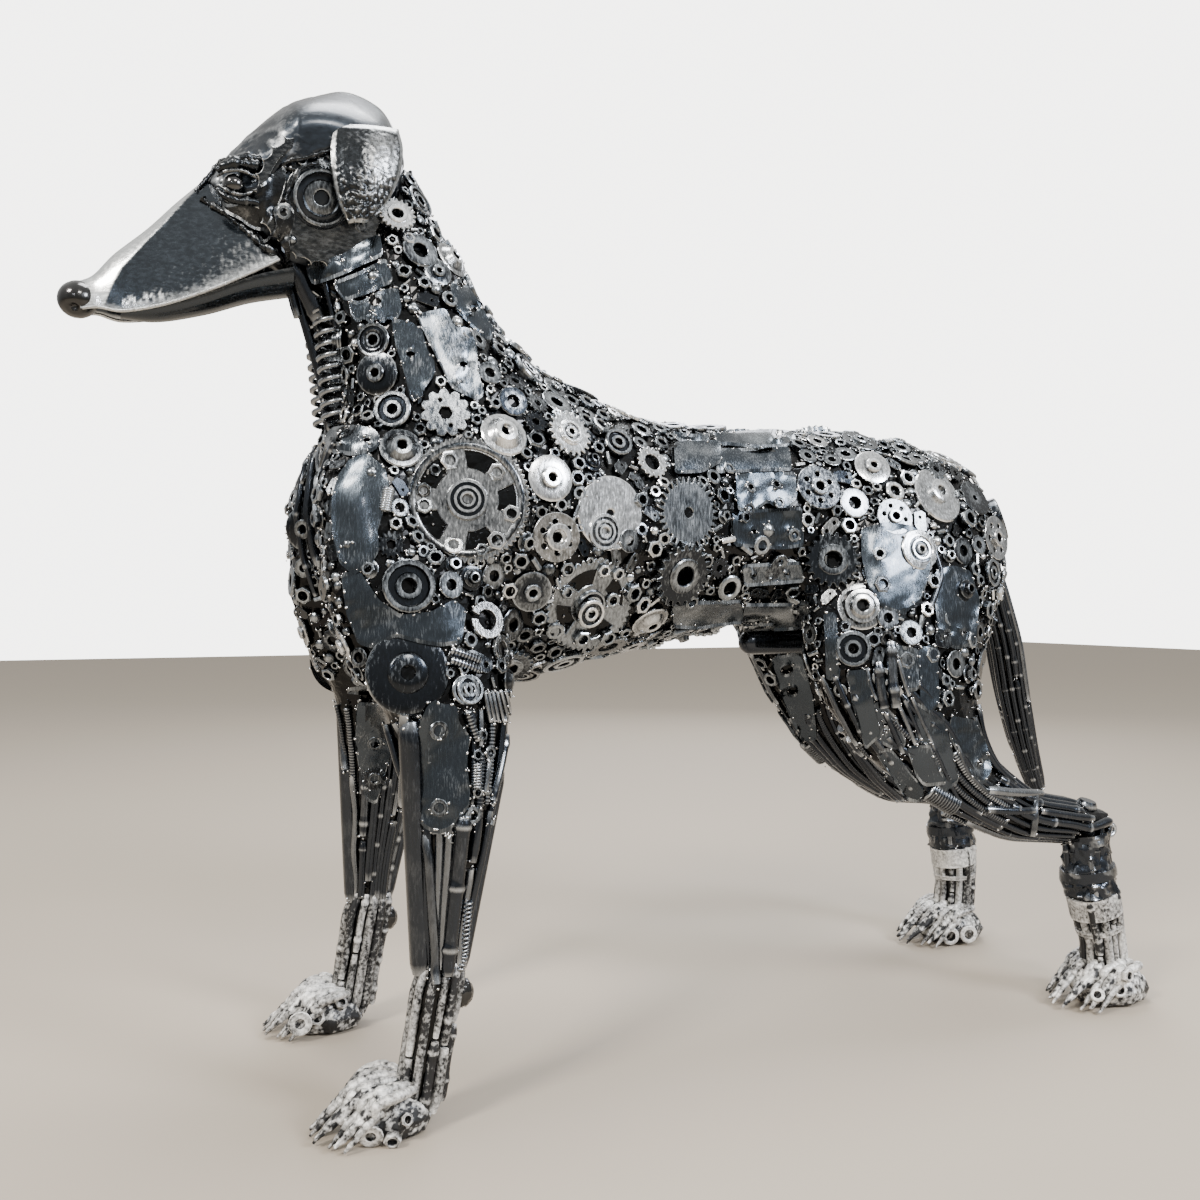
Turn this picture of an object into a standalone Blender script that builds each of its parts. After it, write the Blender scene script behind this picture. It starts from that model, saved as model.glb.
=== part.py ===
"""Standing greyhound welded from scrap metal, life size.

The dog faces -X, its left side is -Y, and the floor is z = 0. The origin is on
the floor, in the middle of the dog's length and width. The body, head and limbs
are free forms: their stations are shares of HEIGHT. The gears, discs, springs,
tubes and plates welded on them are stock parts with sizes of their own.
"""

import math

import bmesh
import bpy
from mathutils import Matrix, Vector
from mathutils.bvhtree import BVHTree

# Driving sizes, in metres
HEIGHT = 0.950           # floor to the top of the skull
GAP = 0.0003             # left between welded neighbours
STANCE = 0.137           # middle of a paw to the dog's mid-plane
NOSE_RADIUS = 0.0175
EYE_RADIUS = 0.0105
BROW_RADIUS = 0.0055
EAR_THICKNESS = 0.005
THROAT_BAR_RADIUS = 0.0055
SPRING_RADIUS = 0.0150   # to the middle of the wire
SPRING_WIRE = 0.0027     # the wire's radius
SPRING_TURNS = 5
SPRING_OFFSET = 0.0225   # each throat spring's axis to the mid-plane
SHEATH_RADIUS = 0.0135
LEG_TUBE_RADIUS = 0.0110
LEG_ROD_RADIUS = 0.0070
DISC_SINK = 0.0040       # how deep a disc's back sits below the form
POCKET_REACH = 0.060     # how far a disc's pocket is cut outwards
POCKET_SIDES = 10

CHAINRING = {"tip": 0.0585, "root": 0.0553, "teeth": 24, "bore": 0.0100,
             "thickness": 0.0075, "windows": 5, "window": 0.0110, "window_ring": 0.0360}
LOW_CHAINRING = {"tip": 0.0480, "root": 0.0450, "teeth": 18, "bore": 0.0080,
                 "thickness": 0.0070, "windows": 4, "window": 0.0090, "window_ring": 0.0290}
FLANK_GEAR = {"tip": 0.0360, "root": 0.0300, "teeth": 14, "bore": 0.0050, "thickness": 0.0080}
CHEEK_SPROCKET = {"tip": 0.0600, "root": 0.0565, "teeth": 24, "bore": 0.0265, "thickness": 0.0060}
CHEEK_BEARING = {"rim": 0.0255, "hub": 0.0165, "bore": 0.0070, "thickness": 0.0110}
ELBOW_DISC = {"rim": 0.0370, "hub": 0.0165, "bore": 0.0070, "thickness": 0.0090}
RUMP_DISC = {"rim": 0.0330, "hub": 0.0120, "bore": 0.0050, "thickness": 0.0080}
HIP_DISC = {"rim": 0.0250, "hub": 0.0130, "bore": 0.0055, "thickness": 0.0100}
FLANK_DISC = {"rim": 0.0360, "hub": 0.0120, "bore": 0.0050, "thickness": 0.0070}

# Colours from the finish: base colour, metallic, roughness
FINISHES = {
    "gunmetal": ((0.13, 0.14, 0.15), 1.0, 0.42),
    "bright_steel": ((0.46, 0.47, 0.48), 1.0, 0.32),
    "polished_sheet": ((0.30, 0.32, 0.34), 1.0, 0.25),
    "cast_steel": ((0.42, 0.42, 0.42), 1.0, 0.45),
    "black_glass": ((0.02, 0.02, 0.02), 0.0, 0.10),
    "whitened_steel": ((0.55, 0.55, 0.54), 0.6, 0.55),
}

# Body rings, rump to neck: (top x, top z), (bottom x, bottom z), half-width
BODY_RINGS = (
    ((0.478, 0.580), (0.474, 0.492), 0.034),
    ((0.462, 0.618), (0.458, 0.455), 0.066),
    ((0.415, 0.658), (0.413, 0.427), 0.097),
    ((0.336, 0.683), (0.334, 0.430), 0.112),
    ((0.216, 0.687), (0.219, 0.451), 0.103),
    ((0.100, 0.682), (0.108, 0.456), 0.098),
    ((-0.010, 0.688), (0.008, 0.437), 0.110),
    ((-0.090, 0.710), (-0.080, 0.418), 0.121),
    ((-0.140, 0.735), (-0.180, 0.397), 0.129),
    ((-0.174, 0.763), (-0.276, 0.391), 0.129),
    ((-0.193, 0.786), (-0.324, 0.407), 0.122),
    ((-0.206, 0.804), (-0.349, 0.476), 0.113),
    ((-0.220, 0.827), (-0.363, 0.590), 0.098),
    ((-0.238, 0.858), (-0.366, 0.675), 0.083),
    ((-0.253, 0.886), (-0.376, 0.748), 0.070),
    ((-0.270, 0.917), (-0.387, 0.815), 0.060),
    ((-0.287, 0.945), (-0.378, 0.880), 0.050),
)
BODY_SIDES = 14

# Skull rings, brow to nape: (top x, top z), (bottom x, bottom z), half-width
SKULL_RINGS = (
    ((-0.478, 0.890), (-0.452, 0.850), 0.034),
    ((-0.463, 0.913), (-0.428, 0.826), 0.048),
    ((-0.437, 0.944), (-0.404, 0.812), 0.058),
    ((-0.405, 0.974), (-0.384, 0.806), 0.064),
    ((-0.372, 0.992), (-0.358, 0.808), 0.067),
    ((-0.342, 1.000), (-0.328, 0.815), 0.066),
    ((-0.312, 0.990), (-0.305, 0.840), 0.060),
    ((-0.295, 0.966), (-0.292, 0.880), 0.044),
    ((-0.288, 0.940), (-0.287, 0.908), 0.022),
)
SKULL_SIDES = 12

# Muzzle rings, nose to cheek: (rim x, rim z), (ridge x, ridge z), half-width
MUZZLE_RINGS = (
    ((-0.574, 0.759), (-0.578, 0.787), 0.0135),
    ((-0.552, 0.754), (-0.560, 0.812), 0.0230),
    ((-0.516, 0.762), (-0.531, 0.839), 0.0320),
    ((-0.476, 0.778), (-0.506, 0.866), 0.0400),
    ((-0.440, 0.796), (-0.487, 0.885), 0.0470),
    ((-0.414, 0.811), (-0.475, 0.897), 0.0490),
)
MUZZLE_SIDES = 12

# Lower jaw under the muzzle's rim: (x, z of the top, depth, half-width)
JAW_RINGS = (
    (-0.554, 0.7565, 0.005, 0.010),
    (-0.520, 0.7635, 0.012, 0.017),
    (-0.476, 0.7800, 0.017, 0.022),
    (-0.436, 0.7990, 0.021, 0.025),
    (-0.396, 0.8120, 0.024, 0.026),
)

# Left ear's rows, root to tip: (front x, front z), (rear x, rear z), distance outwards
EAR_ROWS = (
    ((-0.366, 0.938), (-0.306, 0.944), 0.061),
    ((-0.371, 0.915), (-0.303, 0.922), 0.076),
    ((-0.370, 0.888), (-0.308, 0.893), 0.083),
    ((-0.364, 0.862), (-0.320, 0.866), 0.085),
    ((-0.355, 0.843), (-0.338, 0.845), 0.086),
)
EAR_BULGE = 0.010

# Left foreleg rings, shoulder to wrist: (x, y, z, half-length, half-thickness)
ARM_RINGS = (
    (-0.278, -0.056, 0.690, 0.030, 0.018),
    (-0.296, -0.070, 0.645, 0.066, 0.036),
    (-0.300, -0.080, 0.590, 0.089, 0.046),
    (-0.294, -0.090, 0.495, 0.091, 0.050),
    (-0.280, -0.104, 0.425, 0.082, 0.043),
    (-0.270, -0.116, 0.385, 0.066, 0.037),
    (-0.268, -0.124, 0.345, 0.056, 0.031),
    (-0.269, -0.134, 0.300, 0.048, 0.026),
    (-0.273, -0.140, 0.255, 0.040, 0.022),
    (-0.280, -0.143, 0.190, 0.028, 0.018),
    (-0.283, -0.144, 0.1385, 0.021, 0.015),
)
ARM_SIDES = 9

# Left thigh rings, hip to hock: (front x, z), (rear x, z), y, half-thickness, then how
# much further back the front and the rear edge of the right leg are
THIGH_RINGS = (
    ((0.222, 0.660), (0.415, 0.640), -0.052, 0.036, 0.000, 0.000),
    ((0.176, 0.590), (0.450, 0.585), -0.066, 0.050, 0.000, 0.000),
    ((0.156, 0.505), (0.445, 0.515), -0.081, 0.055, 0.010, 0.000),
    ((0.154, 0.432), (0.405, 0.443), -0.094, 0.053, 0.037, 0.000),
    ((0.171, 0.366), (0.382, 0.377), -0.105, 0.048, 0.064, 0.000),
    ((0.218, 0.307), (0.380, 0.332), -0.114, 0.042, 0.066, 0.010),
    ((0.290, 0.252), (0.392, 0.292), -0.124, 0.035, 0.062, 0.020),
    ((0.400, 0.206), (0.440, 0.254), -0.135, 0.029, 0.040, 0.030),
    ((0.485, 0.198), (0.492, 0.244), -0.139, 0.026, 0.036, 0.036),
    ((0.547, 0.202), (0.550, 0.234), -0.141, 0.021, 0.036, 0.036),
)
THIGH_SIDES = 12

# Left metatarsus and pastern rings, top to bottom: (x, z, half-length, half-thickness), and
# for the metatarsus how much further back the right one is
METATARSUS_RINGS = (
    (0.517, 0.222, 0.018, 0.018, 0.036),
    (0.519, 0.180, 0.025, 0.022, 0.036),
    (0.524, 0.147, 0.031, 0.025, 0.034),
    (0.533, 0.117, 0.029, 0.026, 0.030),
    (0.537, 0.097, 0.028, 0.025, 0.027),
    (0.545, 0.072, 0.025, 0.021, 0.020),
    (0.548, 0.036, 0.030, 0.023, 0.012),
)
PASTERN_RINGS = (
    (-0.284, 0.138, 0.025, 0.021),
    (-0.288, 0.115, 0.024, 0.021),
    (-0.298, 0.060, 0.022, 0.020),
    (-0.306, 0.012, 0.024, 0.020),
)

# Tail rings, root to tip: (front x, z), (rear x, z), half-thickness
TAIL_RINGS = (
    ((0.458, 0.545), (0.478, 0.583), 0.014),
    ((0.478, 0.500), (0.516, 0.510), 0.020),
    ((0.500, 0.432), (0.545, 0.430), 0.021),
    ((0.516, 0.358), (0.562, 0.350), 0.018),
    ((0.536, 0.297), (0.576, 0.288), 0.015),
    ((0.572, 0.226), (0.594, 0.219), 0.010),
)

# Pieces that carry many pockets
CUT_OFTEN = ("body", "foreleg", "hind_leg", "skull_cap", "front_paw", "hind_paw", "ear")

# Where the stock parts sit on the left side, as shares of HEIGHT: (x, z)
CHAINRING_SPOT = (-0.250, 0.580)
ELBOW_DISC_SPOT = (-0.313, 0.417)
FLANK_GEAR_SPOT = (-0.004, 0.576)
FLANK_DISC_SPOT = (-0.098, 0.572)
LOW_CHAINRING_SPOT = (-0.113, 0.480)
RUMP_DISC_SPOT = (0.327, 0.606)
HIP_DISC_SPOT = (0.205, 0.477)
CHEEK_SPOT = (-0.377, 0.871)
EYE_SPOT = (-0.456, -0.047, 0.877)


def collection(name):
    made = bpy.data.collections.new(name)
    bpy.context.scene.collection.children.link(made)
    return made


def clear_scene():
    for obj in list(bpy.data.objects):
        bpy.data.objects.remove(obj)


def material(name):
    found = bpy.data.materials.get(name)
    if found:
        return found
    colour, metallic, roughness = FINISHES[name]
    made = bpy.data.materials.new(name)
    made.use_nodes = True
    shader = made.node_tree.nodes["Principled BSDF"]
    shader.inputs["Base Color"].default_value = (*colour, 1.0)
    shader.inputs["Metallic"].default_value = metallic
    shader.inputs["Roughness"].default_value = roughness
    made.diffuse_color = (*colour, 1.0)
    return made


def add(name, data, finish):
    """A named object in the dog's collection, with its finish."""
    obj = bpy.data.objects.new(name, data)
    if not data.materials:
        data.materials.append(material(finish))
    DOG.objects.link(obj)
    return obj


def form(x, y, z):
    """A point of the free form, from shares of the height."""
    return Vector((x, y, z)) * HEIGHT


def oval(centre, across, out, half_across, half_out, sides):
    """A closed ring of points round a centre."""
    turns = (2 * math.pi * k / sides for k in range(sides))
    return [
        centre + across * (half_across * math.cos(t)) + out * (half_out * math.sin(t))
        for t in turns
    ]


def oval_between(first, last, half_width, sides, y=0.0):
    """A ring whose long axis runs from one profile point to the other."""
    a = form(first[0], y, first[1])
    b = form(last[0], y, last[1])
    half = (a - b) / 2
    return oval((a + b) / 2, half.normalized(), Vector((0, 1, 0)), half.length,
                half_width * HEIGHT, sides)


def loft_mesh(name, rings):
    """Skins a row of rings with the same number of points, and closes both ends.

    The faces are triangles, so that a piece and the clearance cut for it agree.
    """
    bm = bmesh.new()
    rows = [[bm.verts.new(p) for p in ring] for ring in rings]
    for low, high in zip(rows, rows[1:]):
        for k in range(len(low)):
            n = (k + 1) % len(low)
            bm.faces.new((low[k], low[n], high[n], high[k]))
    bm.faces.new(rows[0])
    bm.faces.new(rows[-1])
    bmesh.ops.triangulate(bm, faces=bm.faces)
    bmesh.ops.recalc_face_normals(bm, faces=bm.faces)
    mesh = bpy.data.meshes.new(name)
    bm.to_mesh(mesh)
    bm.free()
    mesh.shade_smooth()
    mesh.set_sharp_from_angle(angle=math.radians(40))
    return mesh


def mirrored(mesh, name):
    """The same mesh for the dog's other side."""
    copy = mesh.copy()
    copy.name = name
    copy.transform(Matrix.Scale(-1, 4, Vector((0, 1, 0))))
    copy.flip_normals()
    return copy


def pair(name, mesh, finish):
    """A left piece from its mesh, and its mirror image on the right."""
    left = add(name + "_left", mesh, finish)
    right = add(name + "_right", mirrored(mesh, name + "_right"), finish)
    return [left, right]


def swollen(obj, by=GAP):
    """A hidden copy of a piece, larger all round by a clearance, to cut its neighbour with."""
    mesh = bpy.data.meshes.new_from_object(obj.evaluated_get(bpy.context.evaluated_depsgraph_get()))
    bm = bmesh.new()
    bm.from_mesh(mesh)
    bmesh.ops.remove_doubles(bm, verts=bm.verts, dist=0.00001)
    bm.normal_update()
    shifts = [v.normal * by * min(v.calc_shell_factor(), 2.0) for v in bm.verts]
    for vert, shift in zip(bm.verts, shifts):
        vert.co += shift
    bm.to_mesh(mesh)
    bm.free()
    cutter = bpy.data.objects.new(obj.name + "_clearance", mesh)
    cutter.matrix_world = obj.matrix_world
    hide_as_cutter(cutter)
    return cutter


def hide_as_cutter(obj):
    obj.hide_render = True
    obj.display_type = "WIRE"
    CUTTERS.objects.link(obj)


def cut(host, cutter):
    """The exact solver, but not on the pieces that it loses after many cuts."""
    modifier = host.modifiers.new("cut_by_" + cutter.name, "BOOLEAN")
    modifier.operation = "DIFFERENCE"
    modifier.object = cutter
    modifier.solver = "MANIFOLD" if host.name.startswith(CUT_OFTEN) else "EXACT"


def cut_by(host, *pieces):
    """Makes room in a host for pieces that are bedded in it."""
    bpy.context.view_layer.update()
    for piece in pieces:
        cut(host, swollen(piece))


def apply_modifiers(obj):
    graph = bpy.context.evaluated_depsgraph_get()
    solid = bpy.data.meshes.new_from_object(obj.evaluated_get(graph))
    obj.modifiers.clear()
    obj.data = solid


def fuse(name, meshes):
    """One mesh from shapes that are welded into each other; the exact solver leaves open edges."""
    base = bpy.data.objects.new(name, meshes[0])
    hide_as_cutter(base)
    tools = []
    for k, mesh in enumerate(meshes[1:]):
        tool = bpy.data.objects.new(f"{name}_{k}", mesh)
        hide_as_cutter(tool)
        modifier = base.modifiers.new("weld", "BOOLEAN")
        modifier.operation = "UNION"
        modifier.object = tool
        modifier.solver = "MANIFOLD"
        tools.append(tool)
    bpy.context.view_layer.update()
    graph = bpy.context.evaluated_depsgraph_get()
    solid = bpy.data.meshes.new_from_object(base.evaluated_get(graph))
    for tool in (base, *tools):
        bpy.data.objects.remove(tool)
    solid.name = name
    return solid


def realised(holder):
    """The mesh of a curve or of an object with modifiers, welded, and the holder gone."""
    CUTTERS.objects.link(holder)
    bpy.context.view_layer.update()
    graph = bpy.context.evaluated_depsgraph_get()
    mesh = bpy.data.meshes.new_from_object(holder.evaluated_get(graph))
    bpy.data.objects.remove(holder)
    bm = bmesh.new()
    bm.from_mesh(mesh)
    bmesh.ops.remove_doubles(bm, verts=bm.verts, dist=0.00001)
    bmesh.ops.recalc_face_normals(bm, faces=bm.faces)
    bm.to_mesh(mesh)
    bm.free()
    return mesh


def tube_mesh(name, points, radii, resolution=1):
    """A round bar along points, with a radius at each: a bevelled poly curve with capped ends."""
    line = bpy.data.curves.new(name, "CURVE")
    line.dimensions = "3D"
    line.bevel_depth = 1.0
    line.bevel_resolution = resolution
    line.use_fill_caps = True
    spline = line.splines.new("POLY")
    spline.points.add(len(points) - 1)
    for slot, point, radius in zip(spline.points, points, radii):
        slot.co = (*point, 1)
        slot.radius = radius
    mesh = realised(bpy.data.objects.new(name, line))
    mesh.shade_smooth()
    mesh.set_sharp_from_angle(angle=math.radians(50))
    return mesh


def circle(radius, sides, phase=0.0):
    turns = (2 * math.pi * (k + phase) / sides for k in range(sides))
    return [Vector((radius * math.cos(t), radius * math.sin(t))) for t in turns]


def gear_outline(teeth, tip, root):
    """Trapezium teeth: two points on the root circle and two on the tip circle for each."""
    points = []
    for k in range(teeth):
        for step, radius in ((0.05, root), (0.30, tip), (0.55, tip), (0.80, root)):
            t = 2 * math.pi * (k + step) / teeth
            points.append(Vector((radius * math.cos(t), radius * math.sin(t))))
    return points


def saw_outline(teeth, tip, root):
    """Pointed chain teeth: one point on the root circle and one on the tip circle for each."""
    points = []
    for k in range(teeth):
        for step, radius in ((0.0, root), (0.5, tip)):
            t = 2 * math.pi * (k + step) / teeth
            points.append(Vector((radius * math.cos(t), radius * math.sin(t))))
    return points


def flat_plate(name, outlines, thickness):
    """A flat curve with its holes, as thick as the plate, its back on z = 0."""
    flat = bpy.data.curves.new(name, "CURVE")
    flat.dimensions = "2D"
    flat.fill_mode = "BOTH"
    flat.extrude = thickness / 2
    for outline in outlines:
        spline = flat.splines.new("POLY")
        spline.points.add(len(outline) - 1)
        for slot, point in zip(spline.points, outline):
            slot.co = (point.x, point.y, 0, 1)
        spline.use_cyclic_u = True
    mesh = realised(bpy.data.objects.new(name, flat))
    mesh.transform(Matrix.Translation((0, 0, thickness / 2)))
    return mesh


def turned(name, profile, sides):
    """A closed profile of (radius, height), turned round Z with a Screw modifier."""
    bm = bmesh.new()
    corners = [bm.verts.new((radius, 0, height)) for radius, height in profile]
    for here, there in zip(corners, corners[1:] + corners[:1]):
        bm.edges.new((here, there))
    mesh = bpy.data.meshes.new(name)
    bm.to_mesh(mesh)
    bm.free()
    holder = bpy.data.objects.new(name, mesh)
    screw = holder.modifiers.new("turn", "SCREW")
    screw.steps = screw.render_steps = sides
    screw.use_merge_vertices = True
    screw.merge_threshold = 0.0001
    mesh = realised(holder)
    mesh.shade_smooth()
    mesh.set_sharp_from_angle(angle=math.radians(35))
    return mesh


def hubbed_disc(name, rim, hub, bore, thickness, sides=12):
    """A pressed disc with a raised hub and a bore right through."""
    web = thickness * 0.55
    profile = ((bore, 0.0), (rim, 0.0), (rim, web), (hub, web), (hub, thickness), (bore, thickness))
    return turned(name, profile, sides)


def bearing(name, rim, hub, bore, thickness, sides=12):
    """A ball bearing: outer race, sunk cage and inner race."""
    race = rim * 0.82
    sunk = thickness * 0.6
    profile = ((bore, 0.0), (rim, 0.0), (rim, thickness), (race, thickness),
               (race, sunk), (hub, sunk), (hub, thickness), (bore, thickness))
    return turned(name, profile, sides)


def spur_gear(name, tip, root, teeth, bore, thickness):
    """A flat gear with square-topped teeth and a bore."""
    return flat_plate(name, [gear_outline(teeth, tip, root), circle(bore, 10)], thickness)


def chain_sprocket(name, tip, root, teeth, bore, thickness):
    """A flat sprocket with pointed teeth and a wide bore."""
    return flat_plate(name, [saw_outline(teeth, tip, root), circle(bore, 12)], thickness)


def ring_with_windows(name, tip, root, teeth, bore, thickness, windows, window, window_ring):
    """A bicycle chainring: a toothed plate with a bore and a ring of round windows."""
    outlines = [saw_outline(teeth, tip, root), circle(bore, 10)]
    for hole in circle(window_ring, windows, 0.5):
        outlines.append([hole + point for point in circle(window, 5)])
    return flat_plate(name, outlines, thickness)


def side_trees(pieces):
    """Search trees of the free forms, for seating stock parts on them."""
    trees = []
    for piece in pieces:
        points = [piece.matrix_world @ v.co for v in piece.data.vertices]
        faces = [tuple(p.vertices) for p in piece.data.polygons]
        trees.append(BVHTree.FromPolygons(points, faces))
    return trees


def seat_on(trees, spot):
    """The outermost point of the left flank at a spot, and a frame whose Z leaves the flank there."""
    start = form(spot[0], 0, spot[1])
    start.y = -1.0
    best = None
    for tree in trees:
        hit, normal, _, _ = tree.ray_cast(start, Vector((0, 1, 0)))
        if hit is not None and (best is None or hit.y < best[0].y):
            best = (hit, normal)
    point, normal = best
    level = Vector((0, 0, 1)).cross(normal).normalized()
    frame = Matrix((level, normal.cross(level), normal)).transposed().to_4x4()
    return Matrix.Translation(point) @ frame


def mirrored_frame(frame):
    """A left placement carried over to the dog's right side, for a shape with a plane of symmetry."""
    return Matrix.Scale(-1, 4, Vector((0, 1, 0))) @ frame @ Matrix.Scale(-1, 4, Vector((0, 1, 0)))


def pocket_cutter(name, radius, tall, placed):
    """A round cutter that reaches from just under a part's back outwards."""
    reach = (radius + GAP) / math.cos(math.pi / POCKET_SIDES)
    bm = bmesh.new()
    bmesh.ops.create_cone(bm, cap_ends=True, segments=POCKET_SIDES, radius1=reach, radius2=reach,
                          depth=tall + GAP, matrix=Matrix.Translation((0, 0, (tall - GAP) / 2)))
    mesh = bpy.data.meshes.new(name)
    bm.to_mesh(mesh)
    bm.free()
    cutter = bpy.data.objects.new(name, mesh)
    cutter.matrix_world = placed
    hide_as_cutter(cutter)
    return cutter


def place_pair(name, mesh, finish, frame, radius, hosts, tall=POCKET_REACH):
    """Beds a stock part in the left and right flank, each in a round pocket of its own."""
    for side, placed in (("_left", frame), ("_right", mirrored_frame(frame))):
        bedded = placed @ Matrix.Translation((0, 0, -DISC_SINK))
        add(name + side, mesh, finish).matrix_world = bedded
        cutter = pocket_cutter(name + "_pocket" + side, radius, tall, bedded)
        for host in hosts:
            if not host.name.endswith(("_left", "_right")) or host.name.endswith(side):
                cut(host, cutter)


def clear_of_disc(hosts, frame, radius, tall):
    """Cuts a disc's own space, and no more, out of the pieces that pass over it."""
    for host in hosts:
        side = frame if host.name.endswith("_left") else mirrored_frame(frame)
        bedded = side @ Matrix.Translation((0, 0, -DISC_SINK))
        cut(host, pocket_cutter(host.name + "_clearance", radius, tall + GAP, bedded))


def build_body():
    rings = [oval_between(top, low, half, BODY_SIDES) for top, low, half in BODY_RINGS]
    return add("body", loft_mesh("body", rings), "gunmetal")


def build_arms():
    rings = [
        oval(form(x, y, z), Vector((1, 0, 0)), Vector((0, 1, 0)), a * HEIGHT, b * HEIGHT, ARM_SIDES)
        for x, y, z, a, b in ARM_RINGS
    ]
    return pair("foreleg", loft_mesh("foreleg_left", rings), "gunmetal")


def build_thighs():
    """The right leg stands a little further back, as the rings say."""
    legs = []
    for side, sign in (("left", 1), ("right", -1)):
        rings = []
        for front, rear, y, half, front_back, rear_back in THIGH_RINGS:
            start = (front[0] + (0 if sign > 0 else front_back), front[1])
            end = (rear[0] + (0 if sign > 0 else rear_back), rear[1])
            rings.append(oval_between(start, end, half, THIGH_SIDES, sign * y))
        name = "hind_leg_" + side
        legs.append(add(name, loft_mesh(name, rings), "gunmetal"))
    return legs


def build_skull():
    rings = [oval_between(top, low, half, SKULL_SIDES) for top, low, half in SKULL_RINGS]
    return add("skull_cap", loft_mesh("skull_cap", rings), "polished_sheet")


def dome_ring(rim, ridge, half_width):
    """An arch from rim to rim over the ridge, closed by a shallow hollow underneath."""
    points = []
    for k in range(MUZZLE_SIDES):
        t = math.pi * k / (MUZZLE_SIDES - 1)
        rise = max(math.sin(t), 0.0) ** 0.8
        x = rim[0] + (ridge[0] - rim[0]) * rise
        z = rim[1] + (ridge[1] - rim[1]) * rise
        points.append(form(x, -half_width * math.cos(t), z))
    return points


def build_muzzle():
    rings = [dome_ring(rim, ridge, half) for rim, ridge, half in MUZZLE_RINGS]
    return add("muzzle", loft_mesh("muzzle", rings), "polished_sheet")


def build_jaw():
    rings = []
    sides = 9
    for x, z, depth, half in JAW_RINGS:
        ring = []
        for k in range(sides):
            t = math.pi * k / (sides - 1)
            ring.append(form(x, half * math.cos(t), z - depth * math.sin(t)))
        rings.append(ring)
    return add("lower_jaw", loft_mesh("lower_jaw", rings), "polished_sheet")


def ball_mesh(name, radius, squash=1.0):
    bm = bmesh.new()
    bmesh.ops.create_uvsphere(bm, u_segments=8, v_segments=6, radius=radius,
                              matrix=Matrix.Diagonal((1, 1, squash, 1)))
    mesh = bpy.data.meshes.new(name)
    bm.to_mesh(mesh)
    bm.free()
    mesh.shade_smooth()
    return mesh


def build_nose():
    nose = add("nose", ball_mesh("nose", NOSE_RADIUS, 0.95), "black_glass")
    nose.location = form(-0.6095, 0, 0.766) + Vector((NOSE_RADIUS, 0, 0))
    return nose


def build_eyes():
    mesh = ball_mesh("eye", EYE_RADIUS)
    eyes = []
    for side, sign in (("left", 1), ("right", -1)):
        eye = add("eye_" + side, mesh, "black_glass")
        eye.location = form(EYE_SPOT[0], sign * EYE_SPOT[1], EYE_SPOT[2])
        eyes.append(eye)
    return eyes


def build_brows():
    """A bent bar over each eye."""
    x, y, z = EYE_SPOT
    path = [form(x + dx, y + dy, z + dz) for dx, dy, dz in (
        (-0.014, 0.006, 0.006), (-0.006, -0.004, 0.015), (0.010, -0.010, 0.016),
        (0.026, -0.010, 0.008))]
    radii = [BROW_RADIUS * share for share in (0.7, 1.0, 1.0, 0.7)]
    return pair("brow", tube_mesh("brow_left", path, radii), "cast_steel")


def build_ears():
    """A cast plate, bulged outwards, that hangs from the side of the skull."""
    columns = 5
    outer, inner = [], []
    for row, (front, rear, out) in enumerate(EAR_ROWS):
        across = [k / (columns - 1) for k in range(columns)]
        down = math.sin(math.pi * row / (len(EAR_ROWS) - 1))
        for share in across:
            bulge = EAR_BULGE * math.sin(math.pi * share) * (0.4 + 0.6 * down)
            x = front[0] + (rear[0] - front[0]) * share
            z = front[1] + (rear[1] - front[1]) * share
            point = form(x, -out - bulge, z)
            outer.append(point)
            inner.append(point + Vector((0, EAR_THICKNESS, 0)))
    bm = bmesh.new()
    front = [bm.verts.new(p) for p in outer]
    back = [bm.verts.new(p) for p in inner]
    rows = len(EAR_ROWS)

    def at(sheet, row, column):
        return sheet[row * columns + column]

    for sheet in (front, back):
        for r in range(rows - 1):
            for c in range(columns - 1):
                bm.faces.new((at(sheet, r, c), at(sheet, r, c + 1),
                              at(sheet, r + 1, c + 1), at(sheet, r + 1, c)))
    border = [(0, c) for c in range(columns)]
    border += [(r, columns - 1) for r in range(1, rows)]
    border += [(rows - 1, c) for c in reversed(range(columns - 1))]
    border += [(r, 0) for r in reversed(range(1, rows - 1))]
    for here, there in zip(border, border[1:] + border[:1]):
        bm.faces.new((at(front, *here), at(front, *there), at(back, *there), at(back, *here)))
    bmesh.ops.recalc_face_normals(bm, faces=bm.faces)
    mesh = bpy.data.meshes.new("ear_left")
    bm.to_mesh(mesh)
    bm.free()
    return pair("ear", mesh, "cast_steel")


def build_throat_bar():
    """The curved bar from the chin down to the breast, in the mid-plane."""
    path = [form(x, 0, z) for x, z in (
        (-0.392, 0.800), (-0.383, 0.765), (-0.376, 0.720), (-0.371, 0.675), (-0.370, 0.635))]
    return add("throat_bar", tube_mesh("throat_bar", path, [THROAT_BAR_RADIUS] * 5), "cast_steel")


def spring_axis():
    low = form(-0.352, 0, 0.668)
    high = form(-0.362, 0, 0.768)
    return low, high, (high - low).normalized()


def build_throat_springs():
    """Two compression springs, one on each side of the throat bar."""
    low, high, axis = spring_axis()
    across = Vector((0, 1, 0))
    out = axis.cross(across)
    steps = 6
    count = SPRING_TURNS * steps + 1
    path = []
    for k in range(count):
        t = 2 * math.pi * k / steps
        middle = low.lerp(high, k / (count - 1)) - across * SPRING_OFFSET
        path.append(middle + (out * math.cos(t) + across * math.sin(t)) * SPRING_RADIUS)
    mesh = tube_mesh("throat_spring_left", path, [SPRING_WIRE] * count, 0)
    return pair("throat_spring", mesh, "bright_steel")


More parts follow.
